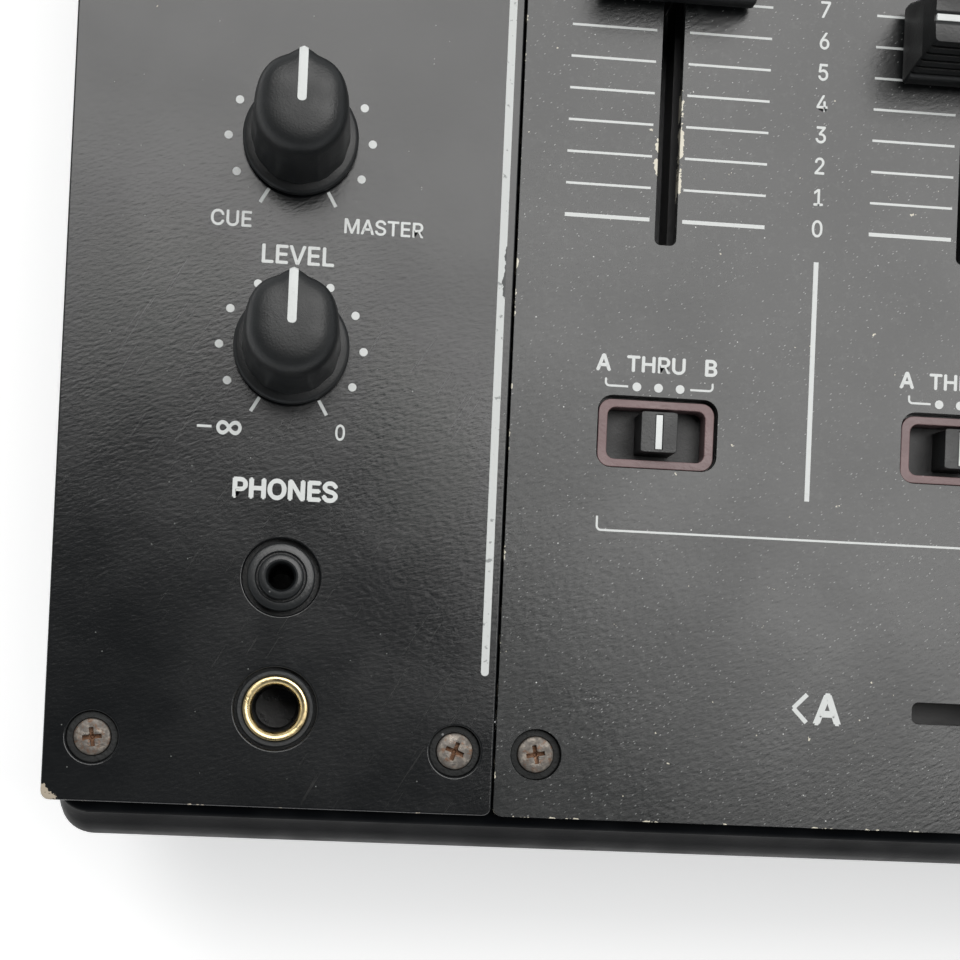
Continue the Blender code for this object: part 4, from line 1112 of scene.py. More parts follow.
# %% [markdown]
# ## Knobs
# A knob is a soft-touch moulding: a thin round skirt, a body that is an egg in plan, a domed crown
# and a white pointer. It is drawn out of a cylinder, then whole columns of vertices are resized
# about the axis: the front half pulls out to broad shoulders and a nose, the rest gets flutes. The
# pointer is a slab cut to the crown's own shape, so it lies on it everywhere.

# %% Draw the knob's body
KNOB_RINGS = [(6.75, 1.2, 7.55), (6.7, 3, 7.55), (6.6, 6, 7.6), (6.5, 9, 7.65),
              (6.4, 11.5, 7.7), (6.3, 13.2, 7.8), (6.1, 14.4, 7.85), (5.7, 15.3, 7.8),
              (5.0, 15.9, 7.55), (3.9, 16.3, 6.4), (2.6, 16.47, 4.4), (1.2, 16.5, 1.9)]
KNOB_SIDES = 72


def resize_columns(piece, test, factor):
    """Resize the vertices that pass the test about the knob's axis."""
    choose_vertices(piece, lambda co: test(math.degrees(math.atan2(co.x, co.y)), co.z))
    bpy.ops.transform.resize(value=(factor, factor, 1), center_override=(0, 0, 0))
    bpy.ops.object.mode_set(mode="OBJECT")


def knob_body(grow=0.0):
    """The knob's body; grow makes the same shape a little larger all round."""
    rings = [((r + grow) * MM, (z + (grow if i else 0)) * MM)
             for i, (r, z, _) in enumerate(KNOB_RINGS)]
    body = drawn_up("knob_body", (0, 0), rings, KNOB_SIDES)
    column = 360 / KNOB_SIDES
    for (radius, height), (_, _, nose) in zip(rings, KNOB_RINGS):
        radius /= MM
        for step in range(int(90 / column)):
            turn = column * step
            shoulder = math.cos(math.radians(max(0, turn - 30) * 1.5)) ** 2
            beak = max(0, 1 - turn / 16)
            reach = radius + (nose + grow - radius) * (0.61 * shoulder + 0.39 * beak)
            resize_columns(body, lambda a, z: abs(abs(a) - turn) < 0.4 * column
                           and abs(z - height) < 0.02 * MM, reach / radius)
    for phase in range(6):
        turn = phase * column
        swell = 0.014 * math.cos(math.radians(12 * turn))
        for low, high, share in ((0, 8, 1.0), (8, 11, 0.7), (11, 12.5, 0.35)):
            resize_columns(body, lambda a, z: abs(a) > 62 and low * MM < z < high * MM
                           and abs((a % 30) - turn) < 0.4 * column, 1 + swell * share)
    return body


print("knob body drawn from", len(KNOB_RINGS), "rings of", KNOB_SIDES, "columns")

# %% [markdown]
# ### Putting the knob together
# The body stands on a thin skirt and a shaft, which are united with it. The pointer is a slab cut
# down by a body that is a hair larger, so it stands the same small height off the crown
# everywhere.

# %% Join the knob and its pointer
body = knob_body()
skirt = drawn_up("knob_skirt", (0, 0), [(7.6 * MM, 0.5 * MM), (8.0 * MM, 0.8 * MM),
                                        (8.0 * MM, 1.45 * MM), (7.85 * MM, 1.75 * MM),
                                        (7.5 * MM, 1.9 * MM), (6.5 * MM, 2.05 * MM)], 96)
shaft = drum("shaft", (0, 0), 3.0 * MM, -9 * MM, 1.0 * MM, 32)
knob = joined("knob", combined(combined(body, skirt, "UNION"), shaft, "UNION"))
knob = smooth(knob, 48)

slab = rounded_block("pointer", (0, 4.45 * MM), (1.2 * MM, 8.3 * MM), 0.5 * MM,
                     11.5 * MM, 18 * MM, 6)
pointer = combined(slab, knob_body(0.09), "INTERSECT")
pointer = eased(pointer, 0.05 * MM, 2)
print("knob:", len(knob.data.polygons), "faces, pointer:", len(pointer.data.polygons), "faces")

# %% [markdown]
# The same knob serves every dial. A copy is widened for the two effect dials, and each knob turns
# with its own body.

# %% Place the knobs
for name in KNOBS:
    place = axis_of(name + "_turn")
    spread = 1.35 if name.startswith("effect") else 1.0
    for source, part, material, slot in ((knob, "grip", RUBBER, "knob_rubber"),
                                         (pointer, "pointer", INK, "legend_ink")):
        twin = copied(source, f"{name}_{part}")
        twin.scale = (spread, spread, 1)
        twin.location = (*place, TOP)
        settle(twin)
        fitted(twin, name, material, slot)
        if part == "grip":
            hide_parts(name)
for source in (knob, pointer):
    bpy.data.objects.remove(source)
print("knobs placed:", len(KNOBS))

# %% [markdown]
# ## Faders
# A fader cap is a ribbed plastic grip with a white line across its middle, on a thin steel tongue
# that goes down through the slot. The block's top is pulled in, its edges are broken, and the
# ribs are thin slabs cut out of both slopes.

# %% Model the fader cap


def fader_cap():
    """Grip with its tongue, lying across X and sliding along Y, at the origin."""
    grip = block("grip", (-11 * MM, -5.5 * MM, 1.2 * MM), (11 * MM, 5.5 * MM, 3.2 * MM))
    choose(grip, lambda at, normal: normal.z > 0.9)
    for lift, squeeze in ((5.5, (0.965, 0.80)), (5.3, (0.965, 0.76))):
        bpy.ops.mesh.extrude_region_move(TRANSFORM_OT_translate={"value": (0, 0, lift * MM)})
        bpy.ops.transform.resize(value=(*squeeze, 1), center_override=(0, 0, 0))
    bpy.ops.object.mode_set(mode="OBJECT")
    grip = eased(grip, 0.55 * MM, 3, 25)
    scoop = drum("scoop", (0, 0), 16 * MM, -14 * MM, 14 * MM, 96)
    scoop.rotation_euler = (0, math.radians(90), 0)
    scoop.location = (0, 0, 29.1 * MM)
    grip = combined(grip, settle(scoop))
    cuts = []
    for step in range(5):
        for side in (-1, 1):
            height = (4.6 + step * 1.75) * MM
            reach = (5.42 - (4.6 + step * 1.75 - 3.2) * 0.2) * MM
            cuts.append(block("rib", (-12 * MM, side * reach - 0.32 * MM, height),
                              (12 * MM, side * reach + 0.32 * MM, height + 0.65 * MM)))
    grip = combined(grip, joined("cuts", *cuts))
    channel = block("channel", (-12 * MM, -0.5 * MM, 12.6 * MM), (12 * MM, 0.5 * MM, 16 * MM))
    grip = smooth(combined(grip, channel), 32)
    stripe = block("stripe", (-10.15 * MM, -0.48 * MM, 12.4 * MM), (10.15 * MM, 0.48 * MM, 13.15 * MM))
    tongue = block("tongue", (-0.8 * MM, -2.5 * MM, -12 * MM), (0.8 * MM, 2.5 * MM, 1.3 * MM))
    return grip, eased(stripe, 0.1 * MM), eased(tongue, 0.15 * MM)


def place_fader(body, turn):
    grip, stripe, tongue = fader_cap()
    x, y = middle(body)
    for piece, part, material, slot in ((grip, "grip", CAP, "cap_plastic"),
                                        (stripe, "line", WHITE_PLASTIC, "cap_plastic"),
                                        (tongue, "tongue", STEEL, "screw_steel")):
        piece.name = f"{body}_{part}"
        piece.rotation_euler.z = math.radians(turn)
        piece.location = (x, y, TOP)
        settle(piece)
        fitted(piece, body, material, slot)
    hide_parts(body)


for name in FADERS:
    place_fader(name, 0)
place_fader("crossfader", 90)
print("faders placed:", len(FADERS) + 1)

# %% [markdown]
# ## Assign switches
# A slide switch sits in a window of the panel: an aged plastic frame just below the paint, a dark
# well, and a small square cap with a white line. A shutter slides with the cap and keeps the well
# closed, which is why no slot shows beside the cap.

# %% Model the switches' frames
FRAME_TOP = TOP - 0.5 * MM
WELL_SIZE, WELL_CORNER = (14.0 * MM, 7.3 * MM), 1.15 * MM


def switch_frame(x):
    """One frame; it sits a little off the middle of its window, as real ones do."""
    seat = (x - 0.1 * MM, SWITCH_ROW - 0.17 * MM)
    outer = rounded_block("frame", seat, (16.6 * MM, 9.6 * MM), 1.8 * MM,
                          UNDER - 1.8 * MM, FRAME_TOP, 7)
    inner = rounded_block("inner", seat, WELL_SIZE, WELL_CORNER, UNDER - 4 * MM, TOP + MM, 7)
    return eased(combined(outer, inner), 0.14 * MM, 2)


frames = joined("switch_frames", *[switch_frame(x) for x in CHANNEL_X])
fitted(frames, "chassis", FRAME_PLASTIC, "frame_plastic", "switch_frame_bar")
bar = block("switch_bar", (CHANNEL_X[0] - 11.6 * MM, SWITCH_ROW - 6.6 * MM, UNDER - 1.8 * MM),
            (CHANNEL_X[3] + 11.6 * MM, SWITCH_ROW + 6.6 * MM, UNDER - 0.35 * MM))
openings = [rounded_block("hole", (x, SWITCH_ROW), WELL_SIZE, WELL_CORNER,
                          UNDER - 4 * MM, TOP, 5) for x in CHANNEL_X]
bar = eased(combined(bar, joined("cutter", *openings)), 0.1 * MM)
fitted(bar, "chassis", JACK_BLACK, "frame_plastic")
print("frames on one bar", round(bar.dimensions.x / MM, 1), "mm long")

# %% [markdown]
# The moving half is four pieces on the switch's own body: the cap, its white line, the shutter and
# a steel stem that goes down to the board.

# %% Model the switches' caps and shutters
for name in SWITCHES:
    x, y = middle(name)
    cap = rounded_block("cap", (x, y), (5.2 * MM, 5.7 * MM), 0.35 * MM,
                        TOP - 4.0 * MM, TOP + 1.4 * MM, 3)
    groove = block("groove", (x - 0.5 * MM, y - 2.5 * MM, TOP + 1.15 * MM),
                   (x + 0.5 * MM, y + 2.5 * MM, TOP + 2 * MM))
    cap = eased(combined(cap, groove), 0.12 * MM, 3)
    cap.name = f"{name}_cap"
    fitted(cap, name, CAP, "cap_plastic", name)
    shutter = rounded_block(f"{name}_shutter", (x, y), (20.2 * MM, 7.8 * MM), 0.5 * MM,
                            TOP - 4.3 * MM, TOP - 4.0 * MM, 2)
    fitted(shutter, name, WELL, "cap_plastic")
    mark = block(f"{name}_line", (x - 0.45 * MM, y - 2.4 * MM, TOP + 1.1 * MM),
                 (x + 0.45 * MM, y + 2.4 * MM, TOP + 1.32 * MM))
    fitted(mark, name, WHITE_PLASTIC, "cap_plastic")
    stem = drum(f"{name}_stem", (x, y), 1.2 * MM, TOP - 12 * MM, TOP - 4.2 * MM, 20)
    fitted(stem, name, STEEL, "screw_steel")
print("switches placed:", len(SWITCHES))

# %% [markdown]
# ## Headphone sockets
# Both sockets are turned parts, so both are drawn up ring by ring and then down again into their
# bore. The large one is a black sleeve round a brass bushing whose mouth is chamfered. The small
# one has a stepped black nose.

# %% Model the sockets
LARGE_BORE, SMALL_BORE = 3.28, 1.75


def turned_socket(name, centre, rings, material, slot):
    """A socket from rings of (radius, height above the panels), in millimetres."""
    piece = drawn_up(name, centre, [(r * MM, TOP + z * MM) for r, z in rings], 80)
    return fitted(smooth(piece, 28), "chassis", material, slot)


large = turned_socket("large_socket_sleeve", LARGE_JACK,
                      [(7.2, -28.3), (7.2, -2.4), (5.35, -2.4), (5.35, -0.62), (5.2, -0.5),
                       (4.8, -0.5), (4.62, -0.62), (4.55, -0.9), (4.55, -14), (4.4, -14.2),
                       (3.3, -14.4), (3.3, -26)], JACK_BLACK, "jack_plastic")
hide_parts("phones_jack_large")
turned_socket("large_socket_bushing", LARGE_JACK,
              [(4.5, -13.9), (4.5, -0.62), (4.45, -0.46), (4.32, -0.38), (4.1, -0.36),
               (3.85, -0.42), (3.62, -0.56), (3.42, -0.80), (3.32, -1.05), (LARGE_BORE, -1.5),
               (LARGE_BORE, -12), (2.9, -13)],
              BRASS, "contact_brass")
small = turned_socket("small_socket", SMALL_JACK,
                      [(7.2, -28.3), (7.2, -2.4), (4.7, -2.4), (4.7, 0.75), (4.58, 0.98),
                       (4.4, 1.08), (3.62, 1.12), (3.5, 1.05), (3.42, 0.55), (3.2, 0.55),
                       (3.12, 1.95), (3.0, 2.22), (2.8, 2.34), (2.35, 2.38), (2.12, 2.25),
                       (1.9, 1.7), (1.78, 1.2), (SMALL_BORE, -22)], JACK_BLACK, "jack_plastic")
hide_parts("phones_jack_small")
print("large socket's bore:", 2 * LARGE_BORE, "mm, small socket's bore:", 2 * SMALL_BORE, "mm")

# %% [markdown]
# ## Panel screws
# A pan-head screw sits low in each recess. Its cross is two crossed blades and a cone, cut out of
# the head and eased. Under it lies a rough dark washer. One screw is modelled and copied, each
# copy turned to another angle.

# %% Model the screw and its washer


def screw(shank=11):
    """A pan-head screw at the origin, its shank this many millimetres long."""
    head = drawn_up("head", (0, 0), [(r * MM, z * MM) for r, z in
                                     [(1.25, -shank), (1.25, -1.05), (2.35, -1.05), (2.55, -0.9),
                                      (2.55, -0.62), (2.45, -0.45), (2.2, -0.34), (1.2, -0.3)]], 48)
    blades = []
    for turn in (0, 90):
        blade = block("blade", (-1.32 * MM, -0.3 * MM, -1.0 * MM), (1.32 * MM, 0.3 * MM, 0.5 * MM))
        blade.rotation_euler.z = math.radians(turn)
        blades.append(settle(blade))
    cross = combined(blades[0], blades[1], "UNION")
    cone = drawn_up("cone", (0, 0), [(0.2 * MM, -1.35 * MM), (0.78 * MM, 0.5 * MM)], 24)
    return eased(combined(head, combined(cross, cone, "UNION")), 0.07 * MM, 2)


def washer():
    rings = [(3.55, -1.28), (3.55, -0.98), (3.4, -0.86), (2.8, -0.86)]
    ring = drawn_up("ring", (0, 0), [(r * MM, z * MM) for r, z in rings], 48)
    return eased(combined(ring, drum("hole", (0, 0), 2.62 * MM, -3 * MM, MM, 48)), 0.05 * MM)


print("screw and washer modelled once")

# %% Place the panel screws
WASHER = moulded("screw_washer", (0.011, 0.012, 0.012), 0.75, 900, 0.0005, 0.10)
screw_places = [(x, y) for x in LEFT_SCREWS + RIGHT_SCREWS for y in (FRONT_SCREWS, REAR_SCREWS)]
screw_places += [(x, y) for x in CENTRE_SCREWS
                 for y in (FRONT_SCREWS, MIDDLE_SCREWS, REAR_SCREWS)]
named = {"panel_screw_left_outer": 8, "panel_screw_left_inner": -20, "panel_screw_fader_left": 12}
first_screw, first_washer = screw(), washer()
for number, place in enumerate(sorted(screw_places), 1):
    solid = [n for n in named if (Vector(middle(n)) - Vector(place)).length < MM]
    turn = named[solid[0]] if solid else 37 * number % 90
    twin = copied(first_screw, f"panel_screw_{number}")
    twin.rotation_euler.z = math.radians(turn)
    twin.location = (*place, TOP)
    fitted(settle(twin), "chassis", SCREW, "screw_steel", *solid)
    ring = copied(first_washer, f"screw_washer_{number}", (*place, TOP))
    fitted(ring, "chassis", WASHER, "screw_steel")
for source in (first_screw, first_washer):
    bpy.data.objects.remove(source)
print("panel screws:", len(screw_places))

# %% [markdown]
# Black screws hold the tray's sides. They are the same screw with a short shank, laid on its side
# so that the head's underside meets the wall.

# %% Side screws
TRAY_LEFT, TRAY_RIGHT, TRAY_FRONT, TRAY_BACK, _, _ = span("base_tray")
SIDE_ROWS = (24 * MM, 72 * MM)
side_screw = screw(3)
side_screws = 0
for side, wall_x in ((-1, TRAY_LEFT), (1, TRAY_RIGHT)):
    for share in (0.16, 0.5, 0.84):
        y = TRAY_FRONT + share * (TRAY_BACK - TRAY_FRONT)
        for height in SIDE_ROWS:
            twin = copied(side_screw, f"side_screw_{len(bpy.data.objects)}")
            twin.rotation_euler = (0, math.radians(90 * side), 0)
            twin.location = (wall_x + side * 1.05 * MM, y, height)
            fitted(settle(twin), "chassis", CASE_SCREW, "screw_steel")
            side_screws += 1
bpy.data.objects.remove(side_screw)
print("side screws:", side_screws)

# %% [markdown]
# ## Buttons
# The cue buttons and the effect button are translucent caps with soft corners and a dished top.
# The dish is an inset face that is pushed down a little.

# %% Model the buttons


def button(name, size, radius, dish):
    x, y = middle(name)
    cap = rounded_block("cap", (x, y), size, radius, TOP - 2 * MM, TOP + 2.4 * MM, 5)
    choose(cap, lambda at, normal: normal.z > 0.9)
    bpy.ops.mesh.inset(thickness=1.1 * MM, depth=-dish)
    bpy.ops.object.mode_set(mode="OBJECT")
    plunger = drum("plunger", (x, y), 1.5 * MM, TOP - 6.3 * MM, TOP - 1.9 * MM, 24)
    cap = combined(eased(cap, 0.3 * MM, 3), plunger, "UNION")
    cap.name = f"{name}_cap"
    return fitted(smooth(cap, 35), name, BUTTON, "button_plastic", name)


for name in CUES:
    button(name, (13 * MM, 7 * MM), 1.3 * MM, 0.25 * MM)
button("effect_button", (18 * MM, 18 * MM), 1.3 * MM, 0.35 * MM)
print("buttons placed:", len(CUES) + 1)

# %% [markdown]
# ## Front moulding
# The black moulding below the panels bulges out at the front and leans back to the table. It
# starts as a low block with round front corners. Its top face is extruded level by level, and at
# each level only the front vertices are pushed forwards or back. The hollow behind it is one
# Boolean cut.

# %% Model the front moulding
CASE_LEFT, CASE_RIGHT, _, BEZEL_BACK, CASE_BOTTOM, CASE_TOP = span("front_bezel")


def front_moulding():
    """The closed block; levels lists each level's height and its front, behind the panels' edge."""
    corner = 9 * MM
    levels = [(9, 7), (24, 3.8), (38, 0.9), (50, -1.6), (60.2, -3.8), (64, -4.6), (67.5, -5.2),
              (72, -5.4), (78.5, -5.4), (81.2, -5.1), (83.2, -4.4), (84.8, -3.4), (85.6, -2.7),
              (86.2, -2.4), (86.8, -1.9), (87.5, -1.75), (88.6, -1.7), (89.0, -1.4),
              (89.2, -0.9)]
    start = FRONT + levels[0][1] * MM
    piece = block("front_moulding", (CASE_LEFT, start, CASE_BOTTOM),
                  (CASE_RIGHT, BEZEL_BACK, CASE_BOTTOM + 1 * MM))
    choose_edges(piece, lambda a, b: abs(a.z - b.z) > 0.5 * MM and a.y < start + MM)
    bpy.ops.mesh.bevel(offset=corner * 0.5, segments=10, affect="EDGES")
    bpy.ops.object.mode_set(mode="OBJECT")
    choose(piece, lambda at, normal: normal.z > 0.9)
    height, front = CASE_BOTTOM + 1 * MM, start
    for level, push in levels[1:]:
        lift = {"value": (0, 0, level * MM - height)}
        bpy.ops.mesh.extrude_region_move(TRANSFORM_OT_translate=lift)
        target = FRONT + push * MM
        choose_vertices(piece, lambda co: co.z > level * MM - 1e-6
                        and co.y < front + 0.51 * corner)
        bpy.ops.transform.translate(value=(0, target - front, 0))
        bpy.ops.object.mode_set(mode="OBJECT")
        choose(piece, lambda at, normal: normal.z > 0.9 and at.z > level * MM - 1e-6)
        height, front = level * MM, target
    bpy.ops.object.mode_set(mode="OBJECT")
    return piece


print("moulding drawn between", round(CASE_LEFT / MM, 1), "and", round(CASE_RIGHT / MM, 1), "mm")

# %% Hollow the moulding
moulding = front_moulding()
wall = 2.5 * MM
hollow = block("hollow", (CASE_LEFT + wall, FRONT + 9.5 * MM, CASE_BOTTOM + wall),
               (CASE_RIGHT - wall, BEZEL_BACK + 2 * MM, CASE_TOP - wall))
moulding = combined(moulding, hollow)
notches = [drum("notch", LARGE_JACK, 7.6 * MM, CASE_TOP - 30 * MM, CASE_TOP + wall, 48)]
notches += [drum("notch", (x, FRONT_SCREWS), 1.6 * MM, CASE_TOP - 12 * MM, CASE_TOP + wall, 24)
            for x in LEFT_SCREWS + CENTRE_SCREWS + RIGHT_SCREWS]
moulding = combined(moulding, joined("cutter", *notches))
fitted(smooth(moulding, 34), "chassis", BEZEL, "bezel_plastic", "front_bezel")
print("front moulding:", len(moulding.data.polygons), "faces")

# %% [markdown]
# ## Rear sockets
# Sixteen phono sockets stand out of the rear panel in two rows. Each is a nickel collar round a
# coloured ring: white above for the left side, red below for the right. One is modelled upright at
# the origin, and its copies are laid down to point to the back.

# %% Model the rear sockets
REAR_FACE = span("rear_panel")[3]
SOCKET_ROWS = (34 * MM, 58 * MM)


def along_y(piece, x, y, z):
    """Lay an upright piece made at the origin so that it points to the back at this place."""
    piece.rotation_euler.x = math.radians(-90)
    piece.location = (x, y, z)
    return settle(piece)


def phono_socket():
    """A collar and the coloured ring inside it, both upright at the origin."""
    collar = drawn_up("collar", (0, 0), [(r * MM, z * MM) for r, z in
                                         [(4.1, -12), (4.1, 0.02), (5.7, 0.02), (5.7, 0.5),
                                          (5.4, 0.75), (4.35, 0.8), (4.2, 1.0), (4.2, 4.7),
                                          (4.0, 5.0), (3.7, 5.0), (3.6, 4.8), (3.6, -3)]], 48)
    insert = drawn_up("insert", (0, 0), [(r * MM, z * MM) for r, z in
                                         [(3.58, -2.9), (3.58, 4.0), (3.4, 4.2), (1.9, 4.2),
                                          (1.75, 4.0), (1.7, -1)]], 40)
    return smooth(collar), smooth(insert)


collar, insert = phono_socket()
collars, whites, reds = [], [], []
for x in CHANNEL_X:
    for side in (-9 * MM, 9 * MM):
        for z in SOCKET_ROWS:
            collars.append(along_y(copied(collar, "collar"), x + side, REAR_FACE, z))
            ring = along_y(copied(insert, "insert"), x + side, REAR_FACE, z)
            (reds if z == SOCKET_ROWS[0] else whites).append(ring)
for source in (collar, insert):
    bpy.data.objects.remove(source)
collars = fitted(joined("phono_collars", *collars), "chassis", STEEL, "contact_brass")
fitted(joined("phono_rings_white", *whites), "chassis", WHITE_PLASTIC, "jack_plastic")
fitted(joined("phono_rings_red", *reds), "chassis", RED_PLASTIC, "jack_plastic")
board_back = REAR_FACE - 7.2 * MM
rear_board = block("rear_board", (CHANNEL_X[0] - 20.9 * MM, board_back - 1.6 * MM, 24 * MM),
                   (CHANNEL_X[3] + 20.9 * MM, board_back, 68 * MM))
fitted(eased(rear_board, 0.1 * MM), "chassis", BOARD, "board", "rear_jack_board")
print("phono sockets:", len(whites) + len(reds))

# %% [markdown]
# ## Mains inlet and power rocker
# The inlet is a rounded housing with a deep mouth and three real blades. The rocker is a bar cut
# across its middle, where it is pushed in, while both ends are pulled out. It rests tilted, as a
# rocker that is off does.

# %% Model the inlet


def between(node):
    """The middle of a node."""
    low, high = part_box(node)
    return (low + high) / 2


inlet = between("power_inlet")
inlet_x, inlet_z = inlet.x, inlet.z
housing = rounded_block("housing", (0, 0), (30 * MM, 24 * MM), 1.2 * MM, -22 * MM, 1.5 * MM, 4)
mouth = rounded_block("mouth", (0, 0), (24 * MM, 16.5 * MM), 2.6 * MM, -17 * MM, 4 * MM, 4)
housing = eased(combined(housing, mouth), 0.45 * MM, 3)
housing.name = "inlet_housing"
housing = along_y(housing, inlet_x, REAR_FACE, inlet_z)
fitted(housing, "chassis", JACK_BLACK, "jack_plastic", "power_inlet")
blades = []
for dx, dz in ((-7, -2), (7, -2), (0, 2)):
    blade = rounded_block("blade", (0, 0), (2 * MM, 4 * MM), 0.3 * MM, -17.5 * MM, -2.5 * MM, 2)
    blades.append(along_y(eased(blade, 0.25 * MM), inlet_x + dx * MM, REAR_FACE, inlet_z + dz * MM))
fitted(joined("inlet_blades", *blades), "chassis", STEEL, "contact_brass")
print("inlet blades:", len(blades))

# %% Model the rocker
hinge = [j for j in frame["joints"] if j["child"] == "power_switch"][0]["pos_m"]
rocker_x, rocker_y, rocker_z = hinge
half_wide, half_tall = 5.65 * MM, 8.3 * MM
rocker = block("rocker_cap", (-half_wide, -7 * MM, -half_tall), (half_wide, 0, half_tall))
bpy.ops.object.mode_set(mode="EDIT")
bpy.ops.mesh.select_all(action="SELECT")
bpy.ops.mesh.bisect(plane_co=(0, 0, 0), plane_no=(0, 0, 1))
bpy.ops.object.mode_set(mode="OBJECT")
for height, push in ((0, -1.0), (half_tall, 0.85), (-half_tall, 0.85)):
    choose_vertices(rocker, lambda co: co.y > -1e-6 and abs(co.z - height) < 1e-5)
    bpy.ops.transform.translate(value=(0, push * MM, 0))
    bpy.ops.object.mode_set(mode="OBJECT")
rocker = eased(rocker, 0.4 * MM, 3, 25)
REST_TILT = math.radians(10)
rocker.rotation_euler.x = REST_TILT
rocker.location = (rocker_x, rocker_y, rocker_z)
fitted(settle(rocker), "power_switch", CAP, "cap_plastic", "power_switch")
print("inlet and rocker at", [round(v / MM, 1) for v in (inlet_x, rocker_x)], "mm")

# %% [markdown]
# The rear panel is printed as well: the two kinds of input above each channel's sockets, the
# channel's number below them, and which row is left and which is right.

# %% Print the rear panel


def rear_words(words, x, z, cap):
    return lettering(words, (x, REAR_FACE + 0.01 * MM, z), cap * MM, 0.014, facing="back")


marks = []
for number, x in enumerate(CHANNEL_X, 1):
    marks += [rear_words("LINE", x + 9 * MM, 67.5 * MM, 1.9),
              rear_words("PHONO", x - 9 * MM, 67.5 * MM, 1.9),
              rear_words(f"CH {number}", x, 24 * MM, 2.6)]
for words, z in (("L", SOCKET_ROWS[1]), ("R", SOCKET_ROWS[0])):
    marks += [rear_words(words, x, z, 2.2) for x in CHANNEL_X]
marks += [rear_words("AC IN", inlet_x, inlet_z + 16 * MM, 2.4),
          rear_words("POWER", rocker_x, rocker_z + 14 * MM, 2.4)]
printed("rear_legends", marks)
print("rear words:", len(marks))

# %% [markdown]
# ## Feet
# A rubber foot is a low drum with a soft lower edge and a shallow ring pressed into its sole.

# %% Model the feet
for name in [n for n in nodes if n.startswith("foot_")]:
    low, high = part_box(name)
    centre = middle(name)
    top = CASE_BOTTOM - 0.3 * MM
    rings = [(6 * MM, 1.2 * MM), (9 * MM, 1.2 * MM), (9.6 * MM, 0.0), (11.6 * MM, 0.0),
             (12.5 * MM, 0.5 * MM), (13 * MM, 1.6 * MM), (13 * MM, top), (2.5 * MM, top),
             (2.5 * MM, high.z)]
    foot = drawn_up(f"{name}_rubber", centre, rings, 64)
    fitted(smooth(foot), "chassis", FOOT, "foot_rubber", name)
print("feet placed:", sum(name.startswith("foot_") for name in nodes))

# %% [markdown]
# ## The carried-over metalwork and boards
# The tray, the rear panel, the boards and the supply keep their own meshes. They only need better
# finishes. The boards' parts stand above the laminate, so their colour goes by height.

# %% Finish the carried-over pieces


def board_finish(name, laminate_top):
    coat = Finish(name, (0.008, 0.075, 0.032), 0.42)
    coat.paint(coat.ramp(coat.noise(300, 2.0), 0.45, 0.6, 0.0, 0.6), (0.012, 0.105, 0.045))
    split = coat.add("SeparateXYZ")
    coat.link(coat.place, split.inputs[0])
    above = coat.ramp(split.outputs["Z"], laminate_top + 0.05 * MM, laminate_top + 0.15 * MM)
    coat.paint(above, (0.030, 0.030, 0.032))
    coat.relief(coat.noise(900, 2.0), 0.00006, 0.7)
    return coat.material


fader_slide_top = UNDER - 5 * MM
finishes = {"base_tray": CASE, "rear_panel": CASE, "power_supply": ALUMINIUM,
            "fader_board": board_finish("fader_board", fader_slide_top - 10 * MM),
            "control_board": board_finish("control_board", UNDER - 8 * MM)}
for name, material in finishes.items():
    nodes[name].data.materials.clear()
    nodes[name].data.materials.append(material)
shown = [name for name, piece in nodes.items() if not piece.hide_render]
print("nodes still shown:", ", ".join(sorted(shown)))

# %% [markdown]
# ## Floor
# The floor is a plain pale sheet, large enough to reach the horizon in the low views. A little
# glow of its own keeps it pale where no softbox reaches.

# %% Floor
bpy.ops.object.select_all(action="DESELECT")
bpy.ops.mesh.primitive_plane_add(size=60, location=(0, 0, 0))
floor = bpy.context.object
floor.name = "floor"
pale = Finish("floor_paint", (0.93, 0.93, 0.93), 0.9, Emission_Color=(1, 1, 1, 1),
              Emission_Strength=0.5)
pale.vary("Roughness", pale.ramp(pale.noise(3, 2.0), 0.3, 0.7, 0.86, 0.94))
floor.data.materials.append(pale.material)
print("floor:", round(floor.dimensions.x), "m wide")

# %% [markdown]
# ## Lights
# A bank of softboxes hangs overhead behind and to the right, cut back step by step towards the
# front left. The satin paint mirrors it, so it is grey towards the back and the right and nearly
# black at the front left. All boxes are equally bright, so they read as one soft source.

# %% Lights


def soft_panel(name, place, target, size, power, colour=(1, 1, 1)):
    """A rectangular soft light that faces a point."""
    bpy.ops.object.light_add(type="AREA", location=place)
    lamp = bpy.context.object
    lamp.name = name
    lamp.data.shape = "RECTANGLE"
    lamp.data.size, lamp.data.size_y = size
    lamp.data.energy = power
    lamp.data.color = colour
    aim = Vector(target) - Vector(place)
    lamp.rotation_euler = aim.to_track_quat("-Z", "Y").to_euler()
    return lamp


CEILING = 1.9
BRIGHTNESS = 15.5
BANK_LEFT, BANK_RIGHT, BANK_BACK = -0.90, 1.25, 1.35
SHADE_EDGE = 0.20
STEPS = 4
DEPTH = 0.125
DIAGONAL = 0.085


def bank(name, left, right, front, back):
    """One softbox of the overhead bank, facing the floor; all are equally bright."""
    size = (right - left, back - front)
    centre = ((left + right) / 2, (front + back) / 2)
    soft_panel(name, (*centre, CEILING), (*centre, 0), size, BRIGHTNESS * size[0] * size[1],
               (1.0, 0.99, 0.975))


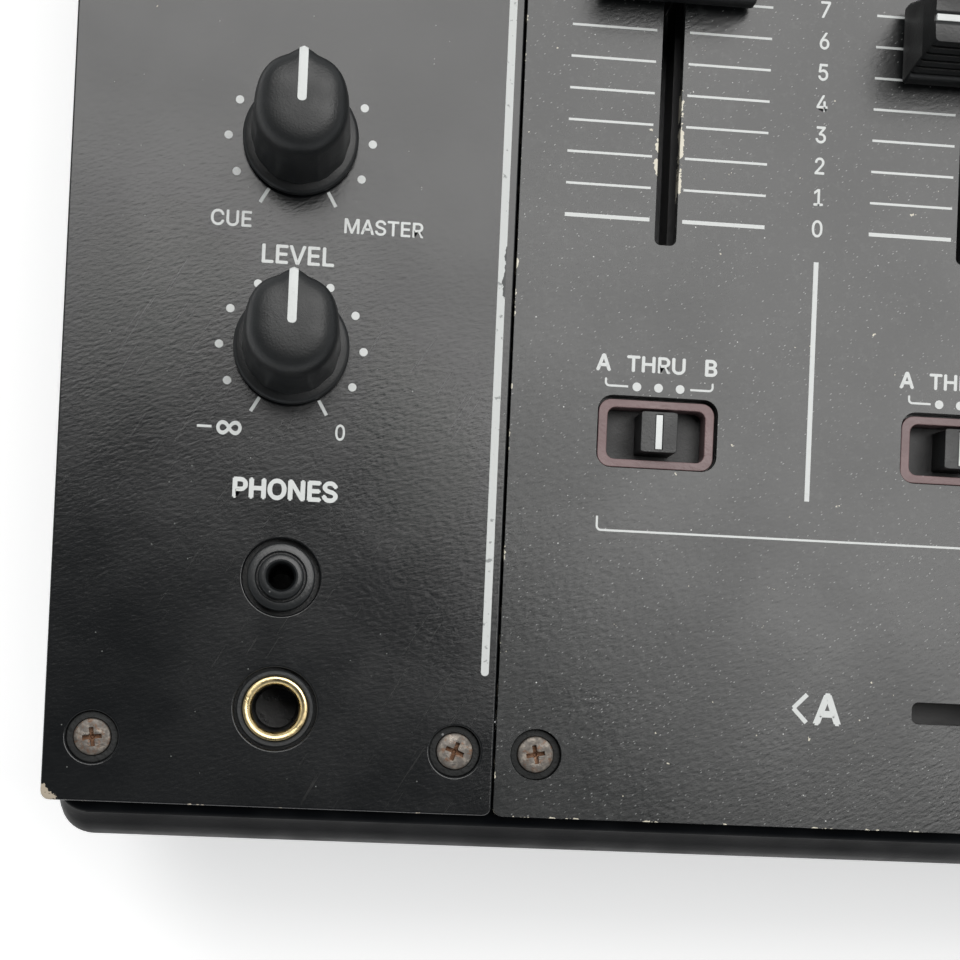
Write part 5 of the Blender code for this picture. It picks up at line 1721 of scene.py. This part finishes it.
bank("rear_softbox", BANK_LEFT, BANK_RIGHT, SHADE_EDGE, BANK_BACK)
for step in range(STEPS):
    back = SHADE_EDGE - step * DEPTH
    left = DIAGONAL - (back - DEPTH / 2)
    bank(f"side_softbox_{step + 1}", left, BANK_RIGHT, back - DEPTH, back)
print("softboxes:", STEPS + 1)

# %% [markdown]
# ## Room
# The room is pale round the horizon and dim overhead, so that from above the panels mirror only
# the softboxes, while every low view still has a pale background.

# %% Room
world = bpy.data.worlds.new("pale_room")
world.use_nodes = True
room = world.node_tree
background = room.nodes["Background"]
direction = room.nodes.new("ShaderNodeTexCoord")
split = room.nodes.new("ShaderNodeSeparateXYZ")
fade = room.nodes.new("ShaderNodeMapRange")
fade.interpolation_type = "SMOOTHSTEP"
for socket, value in (("From Min", 0.12), ("From Max", 0.75), ("To Min", 0.95), ("To Max", 0.05)):
    fade.inputs[socket].default_value = value
room.links.new(direction.outputs["Generated"], split.inputs[0])
room.links.new(split.outputs["Z"], fade.inputs["Value"])
room.links.new(fade.outputs["Result"], background.inputs["Strength"])
background.inputs["Color"].default_value = (0.95, 0.98, 1.0, 1)
bpy.context.scene.world = world
print("room fades towards", fade.inputs["To Max"].default_value, "overhead")

# %% [markdown]
# ## Camera
# The camera looks almost straight down on the front left corner, from about a forearm's length.
# The corner lies off the lens's axis, so the lens is shifted and the panel's lines stay nearly
# parallel, as they would with the camera held level above it.

# %% Camera
CAMERA_PLACE = (-0.13317, -0.18500, 0.34958)
CAMERA_TURN = (0.941, -5.246, 2.504)
LENS = 69.65
SHIFT = (0.02, 0.18)
bpy.ops.object.camera_add(location=CAMERA_PLACE, rotation=[math.radians(a) for a in CAMERA_TURN])
camera = bpy.context.object
camera.data.lens = LENS
camera.data.shift_x, camera.data.shift_y = SHIFT
bpy.context.scene.camera = camera
bpy.context.scene.view_settings.view_transform = "Standard"
print("camera", round(camera.location.z / MM - TOP / MM, 1), "mm above the panels")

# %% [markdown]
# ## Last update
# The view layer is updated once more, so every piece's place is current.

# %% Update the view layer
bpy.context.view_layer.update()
